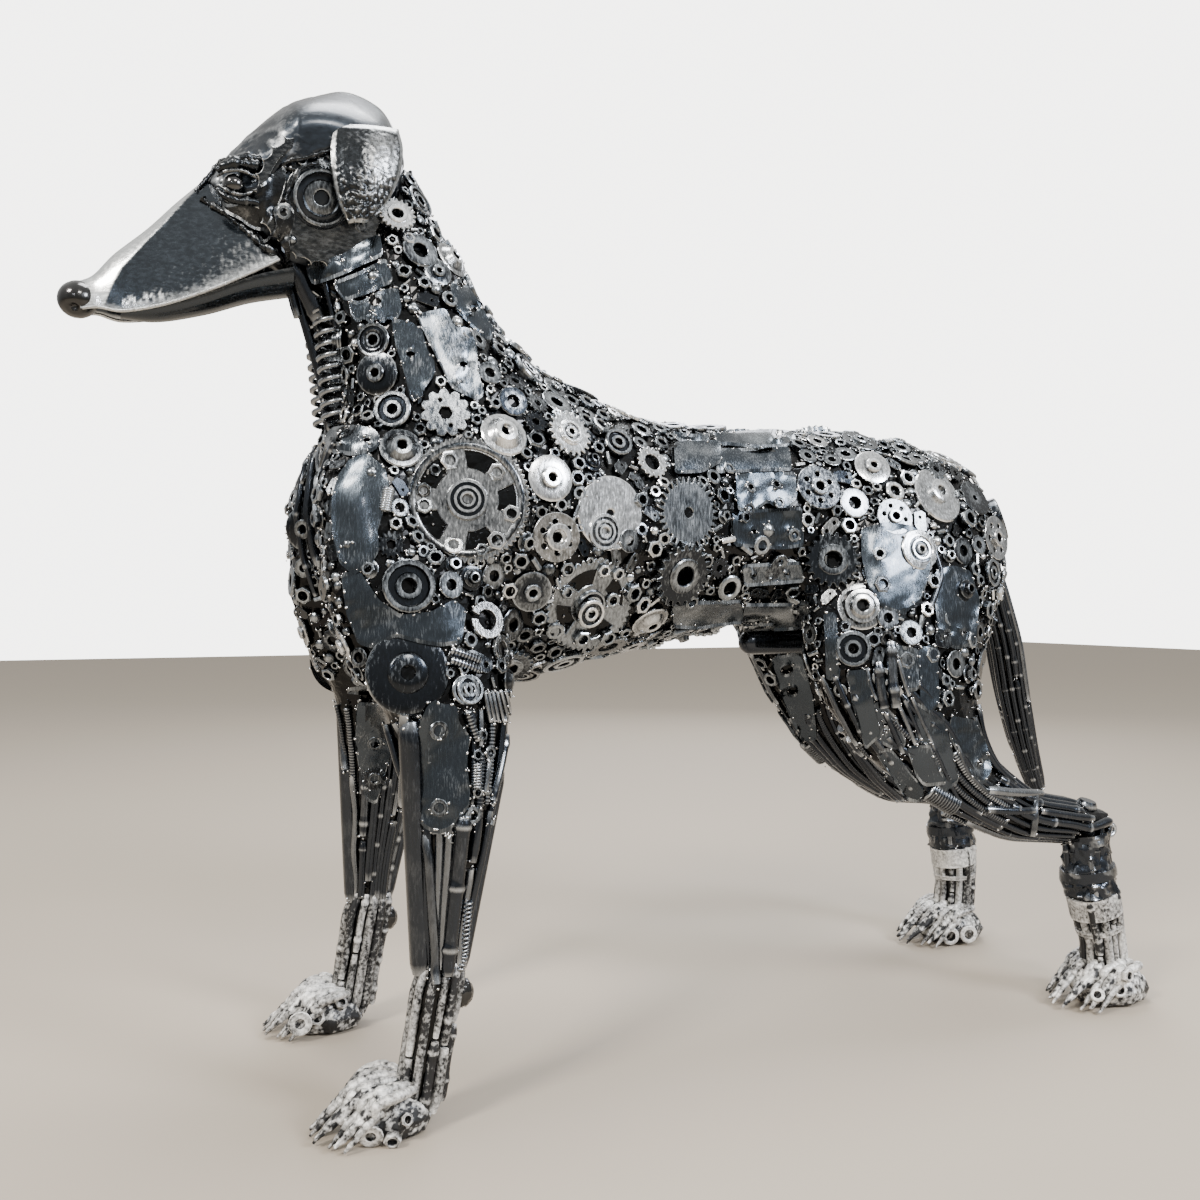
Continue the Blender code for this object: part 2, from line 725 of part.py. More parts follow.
def cut_spring_grooves(body):
    """Round grooves down the throat that the springs lie in."""
    low, high, axis = spring_axis()
    reach = SPRING_RADIUS + SPRING_WIRE * 1.5 + GAP
    length = (high - low).length + 2 * reach
    turn = axis.to_track_quat("Z", "Y").to_matrix().to_4x4()
    for side in (-1, 1):
        middle = (low + high) / 2 + Vector((0, side * SPRING_OFFSET, 0))
        bm = bmesh.new()
        bmesh.ops.create_cone(bm, cap_ends=True, segments=10, radius1=reach, radius2=reach,
                              depth=length, matrix=Matrix.Translation(middle) @ turn)
        mesh = bpy.data.meshes.new("spring_groove")
        bm.to_mesh(mesh)
        bm.free()
        groove = bpy.data.objects.new("spring_groove", mesh)
        hide_as_cutter(groove)
        cut(body, groove)


def build_sheath():
    """The round-ended bar under the loin."""
    z = 0.434
    ends = (0.124, 0.300)
    radius = SHEATH_RADIUS
    path = [form(ends[0], 0, z) + Vector((step * radius, 0, 0)) for step in (0.0, 0.3, 1.0)]
    path.append(form(ends[1], 0, z))
    radii = [radius * share for share in (0.45, 0.8, 1.0, 1.0)]
    return add("belly_bar", tube_mesh("belly_bar", path, radii, 2), "gunmetal")


def build_leg_tubes():
    """A tube down the front of each foreleg, a rod down its outside and one down its rear."""
    made = []
    for name, top, low, radius in (
        ("shin_tube", (-0.311, -0.142, 0.372), (-0.300, -0.146, 0.1392), LEG_TUBE_RADIUS),
        ("shin_rod", (-0.266, -0.166, 0.285), (-0.281, -0.160, 0.1392), LEG_ROD_RADIUS),
        ("shin_rear_rod", (-0.222, -0.136, 0.320), (-0.263, -0.145, 0.1402), LEG_ROD_RADIUS),
    ):
        mesh = tube_mesh(name + "_left", [form(*top), form(*low)], [radius, radius * 0.9])
        made += pair(name, mesh, "gunmetal")
    return made


def limb_ring(x, z, half_length, half_thickness, sides, sign=-1):
    centre = form(x, 0, z) + Vector((0, sign * STANCE, 0))
    return oval(centre, Vector((1, 0, 0)), Vector((0, 1, 0)),
                half_length * HEIGHT, half_thickness * HEIGHT, sides)


def build_metatarsi():
    made = []
    for side, sign in (("left", -1), ("right", 1)):
        name = "metatarsus_" + side
        rings = [limb_ring(x + (back if sign > 0 else 0), z, a, b, 11, sign)
                 for x, z, a, b, back in METATARSUS_RINGS]
        made.append(add(name, loft_mesh(name, rings), "gunmetal"))
    return made


def build_pasterns():
    mesh = loft_mesh("pastern_left", [limb_ring(*ring, 10) for ring in PASTERN_RINGS])
    return pair("pastern", mesh, "whitened_steel")


def paw_mesh(name, heel, toe, height, spread):
    """A pad with four bent toes and their claws, welded into one another."""
    length = heel - toe
    middle = Vector(((heel + toe) / 2 + length * 0.12, -STANCE, height * 0.30))
    bm = bmesh.new()
    size = Matrix.Diagonal((length * 0.36, spread * 0.92, height * 0.55, 1))
    bmesh.ops.create_uvsphere(bm, u_segments=8, v_segments=6, radius=1.0,
                              matrix=Matrix.Translation(middle) @ size)
    low = [v for v in bm.verts if v.co.z < 0]
    for vert in low:
        vert.co.z = 0
    bmesh.ops.remove_doubles(bm, verts=bm.verts, dist=0.0001)
    pad = bpy.data.meshes.new(name + "_pad")
    bm.to_mesh(pad)
    bm.free()
    shapes = [pad]
    for k, share in enumerate((-0.78, -0.27, 0.27, 0.78)):
        y = -STANCE + spread * share
        reach = 1.0 - 0.22 * abs(share)
        knuckle = heel - length * 0.62 * reach
        tip = heel - length * reach
        path = [
            Vector((heel - length * 0.30, y * 0.3 - STANCE * 0.7, height * 0.80)),
            Vector((knuckle, y, height * 0.80)),
            Vector((tip, y, height * 0.12)),
        ]
        thick = spread * 0.24
        radii = [thick, thick, thick * 0.35]
        shapes.append(tube_mesh(f"{name}_toe{k}", path, radii))
    return fuse(name, shapes)


def build_paws():
    front = paw_mesh("front_paw_left", -0.283 * HEIGHT, -0.410 * HEIGHT, 0.047, 0.040)
    hind = paw_mesh("hind_paw_left", 0.6124 * HEIGHT, 0.462 * HEIGHT, 0.052, 0.042)
    return pair("front_paw", front, "whitened_steel"), pair("hind_paw", hind, "whitened_steel")


def build_tail():
    rings = [oval_between(front, rear, half, 10) for front, rear, half in TAIL_RINGS]
    return add("tail", loft_mesh("tail", rings), "gunmetal")


def build_stock_parts(body, arms, thighs, skull, ears, brows):
    """Gears, discs and bearings, each in a pocket of the form that carries it."""
    bpy.context.view_layer.update()
    trees = side_trees([body, arms[0], thighs[0]])
    hosts = [body, *arms, *thighs]
    for name, shape, size, spot in (
        ("shoulder_chainring", ring_with_windows, CHAINRING, CHAINRING_SPOT),
        ("flank_chainring", ring_with_windows, LOW_CHAINRING, LOW_CHAINRING_SPOT),
        ("flank_gear", spur_gear, FLANK_GEAR, FLANK_GEAR_SPOT),
        ("flank_disc", hubbed_disc, FLANK_DISC, FLANK_DISC_SPOT),
        ("elbow_disc", hubbed_disc, ELBOW_DISC, ELBOW_DISC_SPOT),
        ("rump_disc", hubbed_disc, RUMP_DISC, RUMP_DISC_SPOT),
        ("hip_disc", hubbed_disc, HIP_DISC, HIP_DISC_SPOT),
    ):
        radius = size.get("tip", size.get("rim"))
        place_pair(name, shape(name, **size), "bright_steel", seat_on(trees, spot), radius, hosts)

    cheek = seat_on(side_trees([skull]), CHEEK_SPOT)
    mesh = chain_sprocket("cheek_sprocket", **CHEEK_SPROCKET)
    place_pair("cheek_sprocket", mesh, "polished_sheet", cheek, CHEEK_SPROCKET["tip"],
               [skull, body])
    mesh = bearing("cheek_bearing", **CHEEK_BEARING)
    place_pair("cheek_bearing", mesh, "bright_steel", cheek, CHEEK_BEARING["rim"], [])
    over = [*ears, *brows]
    clear_of_disc(over, cheek, CHEEK_SPROCKET["tip"], CHEEK_SPROCKET["thickness"])
    clear_of_disc(ears, cheek, CHEEK_BEARING["rim"], CHEEK_BEARING["thickness"])


def build_dog():
    body = build_body()
    arms = build_arms()
    thighs = build_thighs()
    skull = build_skull()
    muzzle = build_muzzle()
    jaw = build_jaw()
    nose = build_nose()
    eyes = build_eyes()
    brows = build_brows()
    ears = build_ears()
    bar = build_throat_bar()
    springs = build_throat_springs()
    sheath = build_sheath()
    tubes = build_leg_tubes()
    metatarsi = build_metatarsi()
    pasterns = build_pasterns()
    front_paws, hind_paws = build_paws()
    tail = build_tail()

    cut_by(body, *arms, *thighs, skull, bar, sheath, tail)
    cut_spring_grooves(body)
    for side in range(2):
        cut_by(arms[side], *tubes[side::2])
        cut_by(thighs[side], metatarsi[side], sheath)
        cut_by(front_paws[side], pasterns[side])
        cut_by(hind_paws[side], metatarsi[side])
        cut_by(ears[side], skull)
        cut_by(brows[side], skull, muzzle, eyes[side])
    cut_by(skull, muzzle, *eyes, bar)
    cut_by(jaw, muzzle, skull, bar)
    cut_by(nose, muzzle)
    build_stock_parts(body, arms, thighs, skull, ears, brows)


clear_scene()
DOG = collection("scrap_metal_greyhound")
CUTTERS = collection("cutters")
build_dog()
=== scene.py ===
"""Scrap metal greyhound: the scrap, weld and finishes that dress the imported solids."""

import math
import random

import bmesh
import bpy
import numpy as np
from mathutils import Matrix, Vector, noise
from mathutils.bvhtree import BVHTree
from mathutils.geometry import delaunay_2d_cdt


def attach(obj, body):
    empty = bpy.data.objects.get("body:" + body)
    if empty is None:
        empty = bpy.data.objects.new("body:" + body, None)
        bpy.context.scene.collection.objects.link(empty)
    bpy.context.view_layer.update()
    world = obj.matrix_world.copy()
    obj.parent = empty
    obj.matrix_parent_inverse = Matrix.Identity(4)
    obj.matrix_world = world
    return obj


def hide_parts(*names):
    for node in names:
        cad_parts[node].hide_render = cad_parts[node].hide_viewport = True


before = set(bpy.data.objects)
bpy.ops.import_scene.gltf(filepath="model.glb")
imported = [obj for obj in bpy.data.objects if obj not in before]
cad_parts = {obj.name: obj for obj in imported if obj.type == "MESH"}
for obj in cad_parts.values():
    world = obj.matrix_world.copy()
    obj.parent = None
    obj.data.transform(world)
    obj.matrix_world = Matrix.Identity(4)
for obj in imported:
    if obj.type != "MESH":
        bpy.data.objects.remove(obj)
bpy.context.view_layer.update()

# The room: a level camera at the photograph's angle, a plain pale floor, and soft studio
# lamps. The key stands high on the left, as in the photograph, so shadows fall to the
# right; two more in front give the steel its glints, and the rest are weak and pale.
PHOTO_SIDE = 1200                  # the photograph's frame, in pixels
FOCAL_PIXELS = 1195
CAMERA_PLACE = Vector((-0.5657, -1.1615, 0.46))
CAMERA_TURN = math.radians(-23.8)
SENSOR = 36.0
camera_data = bpy.data.cameras.new("photo_view")
camera_data.sensor_width = SENSOR
camera_data.lens = SENSOR * FOCAL_PIXELS / PHOTO_SIDE
camera = bpy.data.objects.new("photo_view", camera_data)
camera.location = CAMERA_PLACE
camera.rotation_euler = (math.radians(90), 0, CAMERA_TURN)
bpy.context.scene.collection.objects.link(camera)
bpy.context.scene.camera = camera


def srgb(code):
    """The linear colour of a hex value such as 2b2e33."""
    parts = [int(code[k:k + 2], 16) / 255 for k in (0, 2, 4)]
    line = [p / 12.92 if p <= 0.04045 else ((p + 0.055) / 1.055) ** 2.4 for p in parts]
    return (*line, 1.0)


def node(tree, kind, links=(), **settings):
    """Adds a node, sets what is named, and joins its inputs: (input, node or socket)."""
    made = tree.nodes.new(kind)
    for key, value in settings.items():
        if key.startswith("in_"):
            slot = key[3:].replace("_", " ")
            made.inputs[int(slot) if slot.isdigit() else slot].default_value = value
        else:
            setattr(made, key, value)
    for slot, source in links:
        output = source if isinstance(source, bpy.types.NodeSocket) else source.outputs[0]
        tree.links.new(output, made.inputs[slot])
    return made


def maths(tree, operation, *terms):
    """A math node over numbers, nodes and sockets."""
    numbers = {f"in_{k}": term for k, term in enumerate(terms) if isinstance(term, float)}
    joined = [(k, term) for k, term in enumerate(terms) if not isinstance(term, float)]
    return node(tree, "ShaderNodeMath", joined, operation=operation, **numbers)


LIGHTS = (
    # name, place, aim, width, height, watts, colour
    ("key", (-2.9, -1.6, 2.9), (-0.1, 0.0, 0.50), 0.8, 0.8, 190, "fff8f0"),
    ("front", (0.1, -3.2, 3.0), (0.0, 0.0, 0.50), 0.8, 0.8, 90, "fffaf4"),
    ("window", (1.5, -2.3, 1.9), (0.05, 0.0, 0.55), 0.8, 0.8, 110, "f2f6ff"),
    ("muzzle_glint", (-1.64, -2.27, 1.41), (-0.52, -0.03, 0.72), 0.16, 0.05, 4, "f4f7ff"),
    ("top", (0.2, 0.4, 3.0), (0.1, 0.0, 0.50), 1.2, 1.2, 80, "ffffff"),
    ("far_side", (1.6, 2.6, 1.8), (0.0, 0.0, 0.50), 1.6, 1.6, 45, "f4f6ff"),
)
for name, place, aim, width, tall, watts, colour in LIGHTS:
    lamp = bpy.data.lights.new(name, "AREA")
    lamp.shape = "RECTANGLE"
    lamp.size = width
    lamp.size_y = tall
    lamp.energy = watts
    lamp.color = srgb(colour)[:3]
    light = bpy.data.objects.new(name, lamp)
    light.location = place
    light.rotation_euler = (Vector(aim) - Vector(place)).to_track_quat("-Z", "Y").to_euler()
    bpy.context.scene.collection.objects.link(light)

# Pale walls behind, and for the steel to mirror a room that is lighter above than below.
WALL_STRENGTH, ROOM_LOW, ROOM_HIGH = 6.0, 0.34, 1.35
world = bpy.data.worlds.new("studio")
world.use_nodes = True
room = world.node_tree
level = node(room, "ShaderNodeSeparateXYZ", [(0, node(room, "ShaderNodeTexCoord").outputs[0])])
sky = node(room, "ShaderNodeMapRange", [("Value", level.outputs[2])], in_1=-0.25, in_2=0.9,
           in_3=ROOM_LOW, in_4=ROOM_HIGH)
seen = node(room, "ShaderNodeLightPath")
strength = node(room, "ShaderNodeMix", [("Factor", seen.outputs["Is Camera Ray"]),
                                        (2, sky.outputs[0])], in_3=WALL_STRENGTH)
room.nodes["Background"].inputs["Color"].default_value = srgb("eeedea")
room.links.new(strength.outputs[0], room.nodes["Background"].inputs["Strength"])
bpy.context.scene.world = world

FLOOR_REACH, FLOOR_DROP = 9.0, 0.0004
floor_mesh = bpy.data.meshes.new("floor")
floor_mesh.from_pydata([(x * FLOOR_REACH, y * FLOOR_REACH, -FLOOR_DROP) for x, y in (
    (-1, -1), (1, -1), (1, 1), (-1, 1))], [], [(0, 1, 2, 3)])
floor = bpy.data.objects.new("floor", floor_mesh)
bpy.context.scene.collection.objects.link(floor)
floor_paint = bpy.data.materials.new("pale_matt_floor")
floor_paint.use_nodes = True
floor_shader = floor_paint.node_tree.nodes["Principled BSDF"]
floor_shader.inputs["Base Color"].default_value = srgb("9f9587")
floor_shader.inputs["Roughness"].default_value = 0.75
floor_mesh.materials.append(floor_paint)

# The welded skin under the scrap: on the real dog, hundreds of arc-weld beads join the
# scrap to one closed, lumpy shell. It shows as near-black slag in every gap, with bright
# specks of spatter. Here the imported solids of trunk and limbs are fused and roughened.
SKIN_NODES = ["body", "tail"]
SKIN_PAIRS = ("foreleg", "hind_leg", "metatarsus", "pastern")
SIDES = ("left", "right")
SKIN_NODES += [f"{name}_{side}" for name in SKIN_PAIRS for side in SIDES]
DISC_NAMES = ("shoulder_chainring", "flank_chainring", "flank_gear", "flank_disc",
              "elbow_disc", "rump_disc", "hip_disc")
DISC_NODES = [f"{name}_{side}" for name in DISC_NAMES for side in SIDES]
SKIN_VOXEL, SKIN_SMOOTHING = 0.0064, 7
MERGED_WITHIN = 0.00002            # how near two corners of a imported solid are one


def object_of(name, mesh, finish=None):
    made = bpy.data.objects.new(name, mesh)
    bpy.context.scene.collection.objects.link(made)
    if finish:
        mesh.materials.append(finish)
    return made


def add_piece(name, mesh, finish, slot, *nodes):
    """A finished piece of the dog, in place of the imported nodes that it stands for."""
    made = object_of(name, mesh, finish)
    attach(made, "root")
    if nodes:
        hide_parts(*nodes)
    return made


def as_mesh(holder):
    """The evaluated mesh of an object that is then removed."""
    bpy.context.view_layer.update()
    graph = bpy.context.evaluated_depsgraph_get()
    mesh = bpy.data.meshes.new_from_object(holder.evaluated_get(graph))
    mesh.name = holder.name
    bpy.data.objects.remove(holder)
    return mesh


def fused_form(names, voxel=SKIN_VOXEL, smoothing=SKIN_SMOOTHING):
    """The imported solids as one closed, softened surface."""
    bm = bmesh.new()
    for name in names:
        bm.from_mesh(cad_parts[name].data)
    bmesh.ops.remove_doubles(bm, verts=bm.verts, dist=MERGED_WITHIN)
    mesh = bpy.data.meshes.new("fused_form")
    bm.to_mesh(mesh)
    bm.free()
    holder = object_of("fused_form", mesh)
    remesh = holder.modifiers.new("fuse", "REMESH")
    remesh.mode = "VOXEL"
    remesh.voxel_size = voxel
    smooth = holder.modifiers.new("soften", "SMOOTH")
    smooth.factor = 0.5
    smooth.iterations = smoothing
    return as_mesh(holder)


form_mesh = fused_form(SKIN_NODES + DISC_NODES)
form_mesh.calc_loop_triangles()
FORM_POINTS = [v.co.copy() for v in form_mesh.vertices]
FORM_TRIANGLES = [tuple(t.vertices) for t in form_mesh.loop_triangles]
form_tree = BVHTree.FromPolygons(FORM_POINTS, FORM_TRIANGLES)


def new_tree(name, **inputs):
    """A geometry tree with a geometry input and output, and named inputs with defaults."""
    tree = bpy.data.node_groups.new(name, "GeometryNodeTree")
    tree.interface.new_socket("Geometry", in_out="INPUT", socket_type="NodeSocketGeometry")
    for label, value in inputs.items():
        kind = {float: "NodeSocketFloat", int: "NodeSocketInt"}.get(type(value), None)
        kind = kind or ("NodeSocketCollection" if value == "collection" else "NodeSocketMaterial")
        socket = tree.interface.new_socket(label, in_out="INPUT", socket_type=kind)
        if isinstance(value, (float, int)):
            socket.default_value = value
    tree.interface.new_socket("Geometry", in_out="OUTPUT", socket_type="NodeSocketGeometry")
    return tree, node(tree, "NodeGroupInput"), node(tree, "NodeGroupOutput")


def run_tree(holder, tree, **values):
    """The mesh that a tree makes of an object; its inputs are set by their identifiers."""
    modifier = holder.modifiers.new(tree.name, "NODES")
    modifier.node_group = tree
    for item in tree.interface.items_tree:
        if item.in_out == "INPUT" and item.name in values:
            modifier[item.identifier] = values[item.name]
    return as_mesh(holder)


def close_tree(tree, tree_in, tree_out, last):
    """Ends a tree: its instances made real, with their finish on them."""
    real = node(tree, "GeometryNodeRealizeInstances", [(0, last)])
    done = node(tree, "GeometryNodeSetMaterial",
                [(0, real), ("Material", tree_in.outputs["Finish"])])
    tree.links.new(done.outputs[0], tree_out.inputs[0])


slag_tree, slag_in, slag_out = new_tree("weld_skin", Sink=0.0016, Lumps=0.0034, Grain=120.0,
                                        Finish="material")
slag_noise = node(slag_tree, "ShaderNodeTexNoise", [("Scale", slag_in.outputs["Grain"])],
                  in_Detail=3.0, in_Roughness=0.6)
slag_raised = maths(slag_tree, "SUBTRACT", slag_noise, 0.5)
slag_lumps = maths(slag_tree, "MULTIPLY", slag_raised, slag_in.outputs["Lumps"])
slag_height = maths(slag_tree, "SUBTRACT", slag_lumps, slag_in.outputs["Sink"])
slag_normal = node(slag_tree, "GeometryNodeInputNormal")
slag_offset = node(slag_tree, "ShaderNodeVectorMath", [(0, slag_normal), ("Scale", slag_height)],
                   operation="SCALE")
close_tree(slag_tree, slag_in, slag_out, node(slag_tree, "GeometryNodeSetPosition", [
    ("Geometry", slag_in.outputs[0]), ("Offset", slag_offset)]))

CLOUD_GRAINS = 14                  # how many grains of the brushing one cloud spans
STREAK_DETAIL, STREAK_ROUGHNESS = 5.0, 0.62
CLOUD_SHARE = 0.6
NOISE_SPREAD, NOISE_MIDDLE = 2.2, 1.76   # both noises average 0.8, which the second takes off
GLOSS_DOWN, GLOSS_UP = 0.09, 0.12  # how far brushing takes the roughness either way


def metal(name, dark, bright, roughness, grain, coat=0.0, pits=0.0, metallic=1.0,
          brushed=(1.0, 1.0, 1.0), contrast=1.0, lift=0.0, polish=0.12):
    """A worn metal: dark in its recesses and bright where it was ground or rubbed.

    bright comes from each piece's own edges, and on the head and ears also holds painted
    highlights and painted shade; tone from how clean that piece is, and grain is the size in
    metres of the brushing that breaks the two up.
    """
    made = bpy.data.materials.new(name)
    made.use_nodes = True
    tree = made.node_tree
    shader = tree.nodes["Principled BSDF"]
    place = node(tree, "ShaderNodeTexCoord").outputs["Object"]
    laid = node(tree, "ShaderNodeMapping", [("Vector", place)], in_Scale=brushed)
    streaks = node(tree, "ShaderNodeTexNoise", [("Vector", laid)], in_Scale=1 / grain,
                   in_Detail=STREAK_DETAIL, in_Roughness=STREAK_ROUGHNESS)
    clouds = node(tree, "ShaderNodeTexNoise", [("Vector", place)],
                  in_Scale=1 / (grain * CLOUD_GRAINS), in_Detail=2.0)
    edge = node(tree, "ShaderNodeAttribute", attribute_name="bright")
    tone = node(tree, "ShaderNodeAttribute", attribute_name="tone")
    worn = maths(tree, "ADD", edge.outputs["Fac"], tone.outputs["Fac"])
    broken = maths(tree, "MULTIPLY_ADD", clouds, CLOUD_SHARE, streaks)
    centred = maths(tree, "MULTIPLY_ADD", broken, NOISE_SPREAD * contrast,
                    -NOISE_MIDDLE * contrast - 0.5 + lift)
    share = maths(tree, "ADD", worn, centred)
    share.use_clamp = True
    mix = node(tree, "ShaderNodeMix", [("Factor", share)], data_type="RGBA", in_6=srgb(dark),
               in_7=srgb(bright))
    tree.links.new(mix.outputs[2], shader.inputs["Base Color"])
    gloss = node(tree, "ShaderNodeMapRange", [("Value", streaks)], in_1=0.3, in_2=0.7,
                 in_3=roughness - GLOSS_DOWN, in_4=roughness + GLOSS_UP)
    tree.links.new(gloss.outputs[0], shader.inputs["Roughness"])
    if pits:
        fine = node(tree, "ShaderNodeTexNoise", [("Vector", laid)], in_Scale=0.55 / grain,
                    in_Detail=4.0, in_Roughness=0.7)
        bump = node(tree, "ShaderNodeBump", [("Height", fine)], in_Strength=0.9,
                    in_Distance=pits)
        tree.links.new(bump.outputs[0], shader.inputs["Normal"])
    shader.inputs["Metallic"].default_value = metallic
    shader.inputs["Coat Weight"].default_value = coat
    shader.inputs["Coat Roughness"].default_value = polish
    return made


# Black oxide and slag between the pieces, with the odd bright spatter under the lacquer.
slag = metal("black_weld_slag", "050607", "7d848b", 0.30, 0.0030, coat=0.4, pits=0.0009,
             contrast=1.4, lift=-0.14)
weld_skin = add_piece("weld_skin", run_tree(object_of("weld_skin", form_mesh.copy()), slag_tree,
                                            Finish=slag), None, "gunmetal", *SKIN_NODES)

# Stock scrap: washers, nuts, ball bearings, discs, gears and sprockets, as bought or
# salvaged, each welded flat on the skin. Every shape has a radius of 1, with its back on
# z = 0, and says how bright each ring of it is: black in a groove, rubbed on an edge.
stock = bpy.data.collections.new("stock_shapes")
stock_names = []


def keep_shape(name, mesh):
    mesh.name = f"stock_{len(stock_names):02d}_{name}"
    stock.objects.link(bpy.data.objects.new(mesh.name, mesh))
    stock_names.append(name)


def shaded(mesh, sharp=32):
    mesh.shade_smooth()
    mesh.set_sharp_from_angle(angle=math.radians(sharp))
    return mesh


def turned_shape(profile, sides, hexagon=()):
    """A ring turned from (radius, height, brightness) rows; rows in hexagon have six corners."""
    bm = bmesh.new()
    bright = bm.verts.layers.float.new("bright")
    rings = []
    for row, (radius, height, shine) in enumerate(profile):
        ring = []
        for k in range(sides):
            turn = 2 * math.pi * k / sides
            reach = radius
            if row in hexagon:
                reach *= math.cos(math.pi / 6) / math.cos((turn % (math.pi / 3)) - math.pi / 6)
            vert = bm.verts.new((reach * math.cos(turn), reach * math.sin(turn), height))
            vert[bright] = shine
            ring.append(vert)
        rings.append(ring)
    for low, high in zip(rings, rings[1:] + rings[:1]):
        for k in range(sides):
            n = (k + 1) % sides
            bm.faces.new((low[k], low[n], high[n], high[k]))
    bmesh.ops.recalc_face_normals(bm, faces=bm.faces)
    mesh = bpy.data.meshes.new("turned")
    bm.to_mesh(mesh)
    bm.free()
    return shaded(mesh)


def polar(radius, turn):
    return radius * math.cos(turn), radius * math.sin(turn)


def ring_of(radius, count, phase=0.0):
    return [polar(radius, 2 * math.pi * (k + phase) / count) for k in range(count)]


def holes(spots, radius, sides=10):
    """Round holes at the spots, as outlines."""
    return [[(x + dx, y + dy) for dx, dy in ring_of(radius, sides)] for x, y in spots]


def toothed(teeth, root, steps=((0.05, 0), (0.28, 1), (0.52, 1), (0.75, 0))):
    """A gear's outline with tips at radius 1."""
    return [polar(root + (1 - root) * out, 2 * math.pi * (k + step) / teeth)
            for k in range(teeth) for step, out in steps]


CHAIN_TOOTH = ((0.0, 0), (0.38, 0.9), (0.62, 0.9))
SEAM, EDGE_SHINE = 0.0005, 0.95    # how near two corners are one, and how bright an edge is


def cut_shape(outlines, thickness, edge=0.02, face=0.45):
    """A plate cut to outlines, with a small bevel that is rubbed bright."""
    flat = bpy.data.curves.new("cut", "CURVE")
    flat.dimensions = "2D"
    flat.fill_mode = "BOTH"
    flat.extrude = thickness / 2 - edge
    flat.bevel_depth = edge
    flat.bevel_resolution = 0
    flat.offset = -edge
    for outline in outlines:
        spline = flat.splines.new("POLY")
        spline.points.add(len(outline) - 1)
        for slot, point in zip(spline.points, outline):
            slot.co = (point[0], point[1], 0, 1)
        spline.use_cyclic_u = True
    mesh = as_mesh(object_of("cut", flat))
    bm = bmesh.new()
    bm.from_mesh(mesh)
    bmesh.ops.remove_doubles(bm, verts=bm.verts, dist=SEAM)
    bmesh.ops.recalc_face_normals(bm, faces=bm.faces)
    bright = bm.verts.layers.float.new("bright")
    for vert in bm.verts:
        vert[bright] = face if vert.co.z > thickness / 2 - edge / 2 else EDGE_SHINE
        vert.co.z += thickness / 2
    bm.to_mesh(mesh)
    bm.free()
    return shaded(mesh)


def stacked(*meshes):
    """Shapes laid on one another as one mesh."""
    bm = bmesh.new()
    for mesh in meshes:
        bm.from_mesh(mesh)
    mesh = bpy.data.meshes.new("stacked")
    bm.to_mesh(mesh)
    bm.free()
    return shaded(mesh)


SIX_CORNERS = (3, 4, 5)            # the rows of a nut that follow its flats
TURNED = (
    # name, sides, rows of (radius, height, brightness), then the rows that have six corners
    ("washer", 12, ((.42, 0, 0), (.42, .15, .2), (.46, .19, .9), (.93, .19, .45), (1, .14, 1),
                    (1, 0, .1)), ()),
    ("ring", 12, ((.52, 0, 0), (.52, .34, .1), (.60, .42, .95), (.90, .42, .7), (1, .33, .9),
                  (1, 0, .1)), ()),
    ("nut", 12, ((.50, 0, 0), (.50, .56, .05), (.60, .74, .9), (.86, .74, .6), (1, .62, 1),
                 (1, 0, .2)), SIX_CORNERS),
    ("flange_nut", 12, ((.36, 0, 0), (.36, .66, .05), (.44, .76, .9), (.62, .76, .6),
                        (.72, .66, 1), (.72, .22, .2), (.95, .14, .5), (1, .10, 1), (1, 0, .1)),
     SIX_CORNERS),
    ("bearing", 18, ((.27, 0, 0), (.27, .27, .1), (.31, .32, .95), (.47, .32, .7), (.51, .27, .5),
                     (.52, .15, 0), (.74, .15, 0), (.76, .27, .4), (.80, .32, .9), (.95, .32, .6),
                     (1, .27, .95), (1, 0, .1)), ()),
    ("shielded_bearing", 18, ((.30, 0, 0), (.30, .26, .1), (.34, .30, 1), (.44, .30, .7),
                              (.47, .22, 0), (.51, .25, .5), (.62, .27, .6), (.65, .16, 0),
                              (.80, .16, 0), (.83, .28, .9), (.95, .30, .6), (1, .25, .95),
                              (1, 0, .1)), ()),
    ("hubbed_disc", 18, ((.18, 0, 0), (.18, .33, .1), (.23, .38, .95), (.38, .38, .6),
                         (.43, .33, .9), (.45, .17, 0), (.60, .15, .4), (.90, .14, .5),
                         (1, .10, 1), (1, 0, .1)), ()),
    ("cup_washer", 16, ((.22, 0, 0), (.22, .40, .1), (.29, .45, 1), (.46, .42, .6), (.60, .28, .5),
                        (.74, .15, .2), (.94, .13, .5), (1, .08, 1), (1, 0, .1)), ()),
    ("ridged_disc", 18, ((.13, 0, 0), (.13, .30, .1), (.18, .34, 1), (.26, .32, .6), (.30, .20, 0),
                         (.38, .20, 0), (.42, .28, .9), (.50, .28, .6), (.54, .17, 0),
                         (.62, .17, 0), (.67, .22, .8), (.80, .20, .4), (.95, .18, .5),
                         (1, .13, 1), (1, 0, .1)), ()),
    ("plain_disc", 20, ((.14, 0, 0), (.14, .12, .1), (.17, .14, .9), (.60, .15, .5),
                        (.96, .14, .5), (1, .11, 1), (1, 0, .1)), ()),
    ("cone", 14, ((.26, 0, 0), (.26, .72, .1), (.32, .78, 1), (.42, .76, .6), (.50, .46, .4),
                  (.70, .38, .5), (.74, .34, .9), (.76, .16, .1), (.96, .12, .5), (1, .08, 1),
                  (1, 0, .1)), ()),
)
for name, sides, rows, cornered in TURNED:
    keep_shape(name, turned_shape(rows, sides, cornered))
keep_shape("gear", stacked(
    cut_shape([toothed(20, .84), ring_of(.34, 12)], .26),
    turned_shape(((.3, 0, 0), (.3, .30, .1), (.34, .34, .9), (.52, .34, .6), (.56, .30, .9),
                  (.56, 0, 0)), 16)))
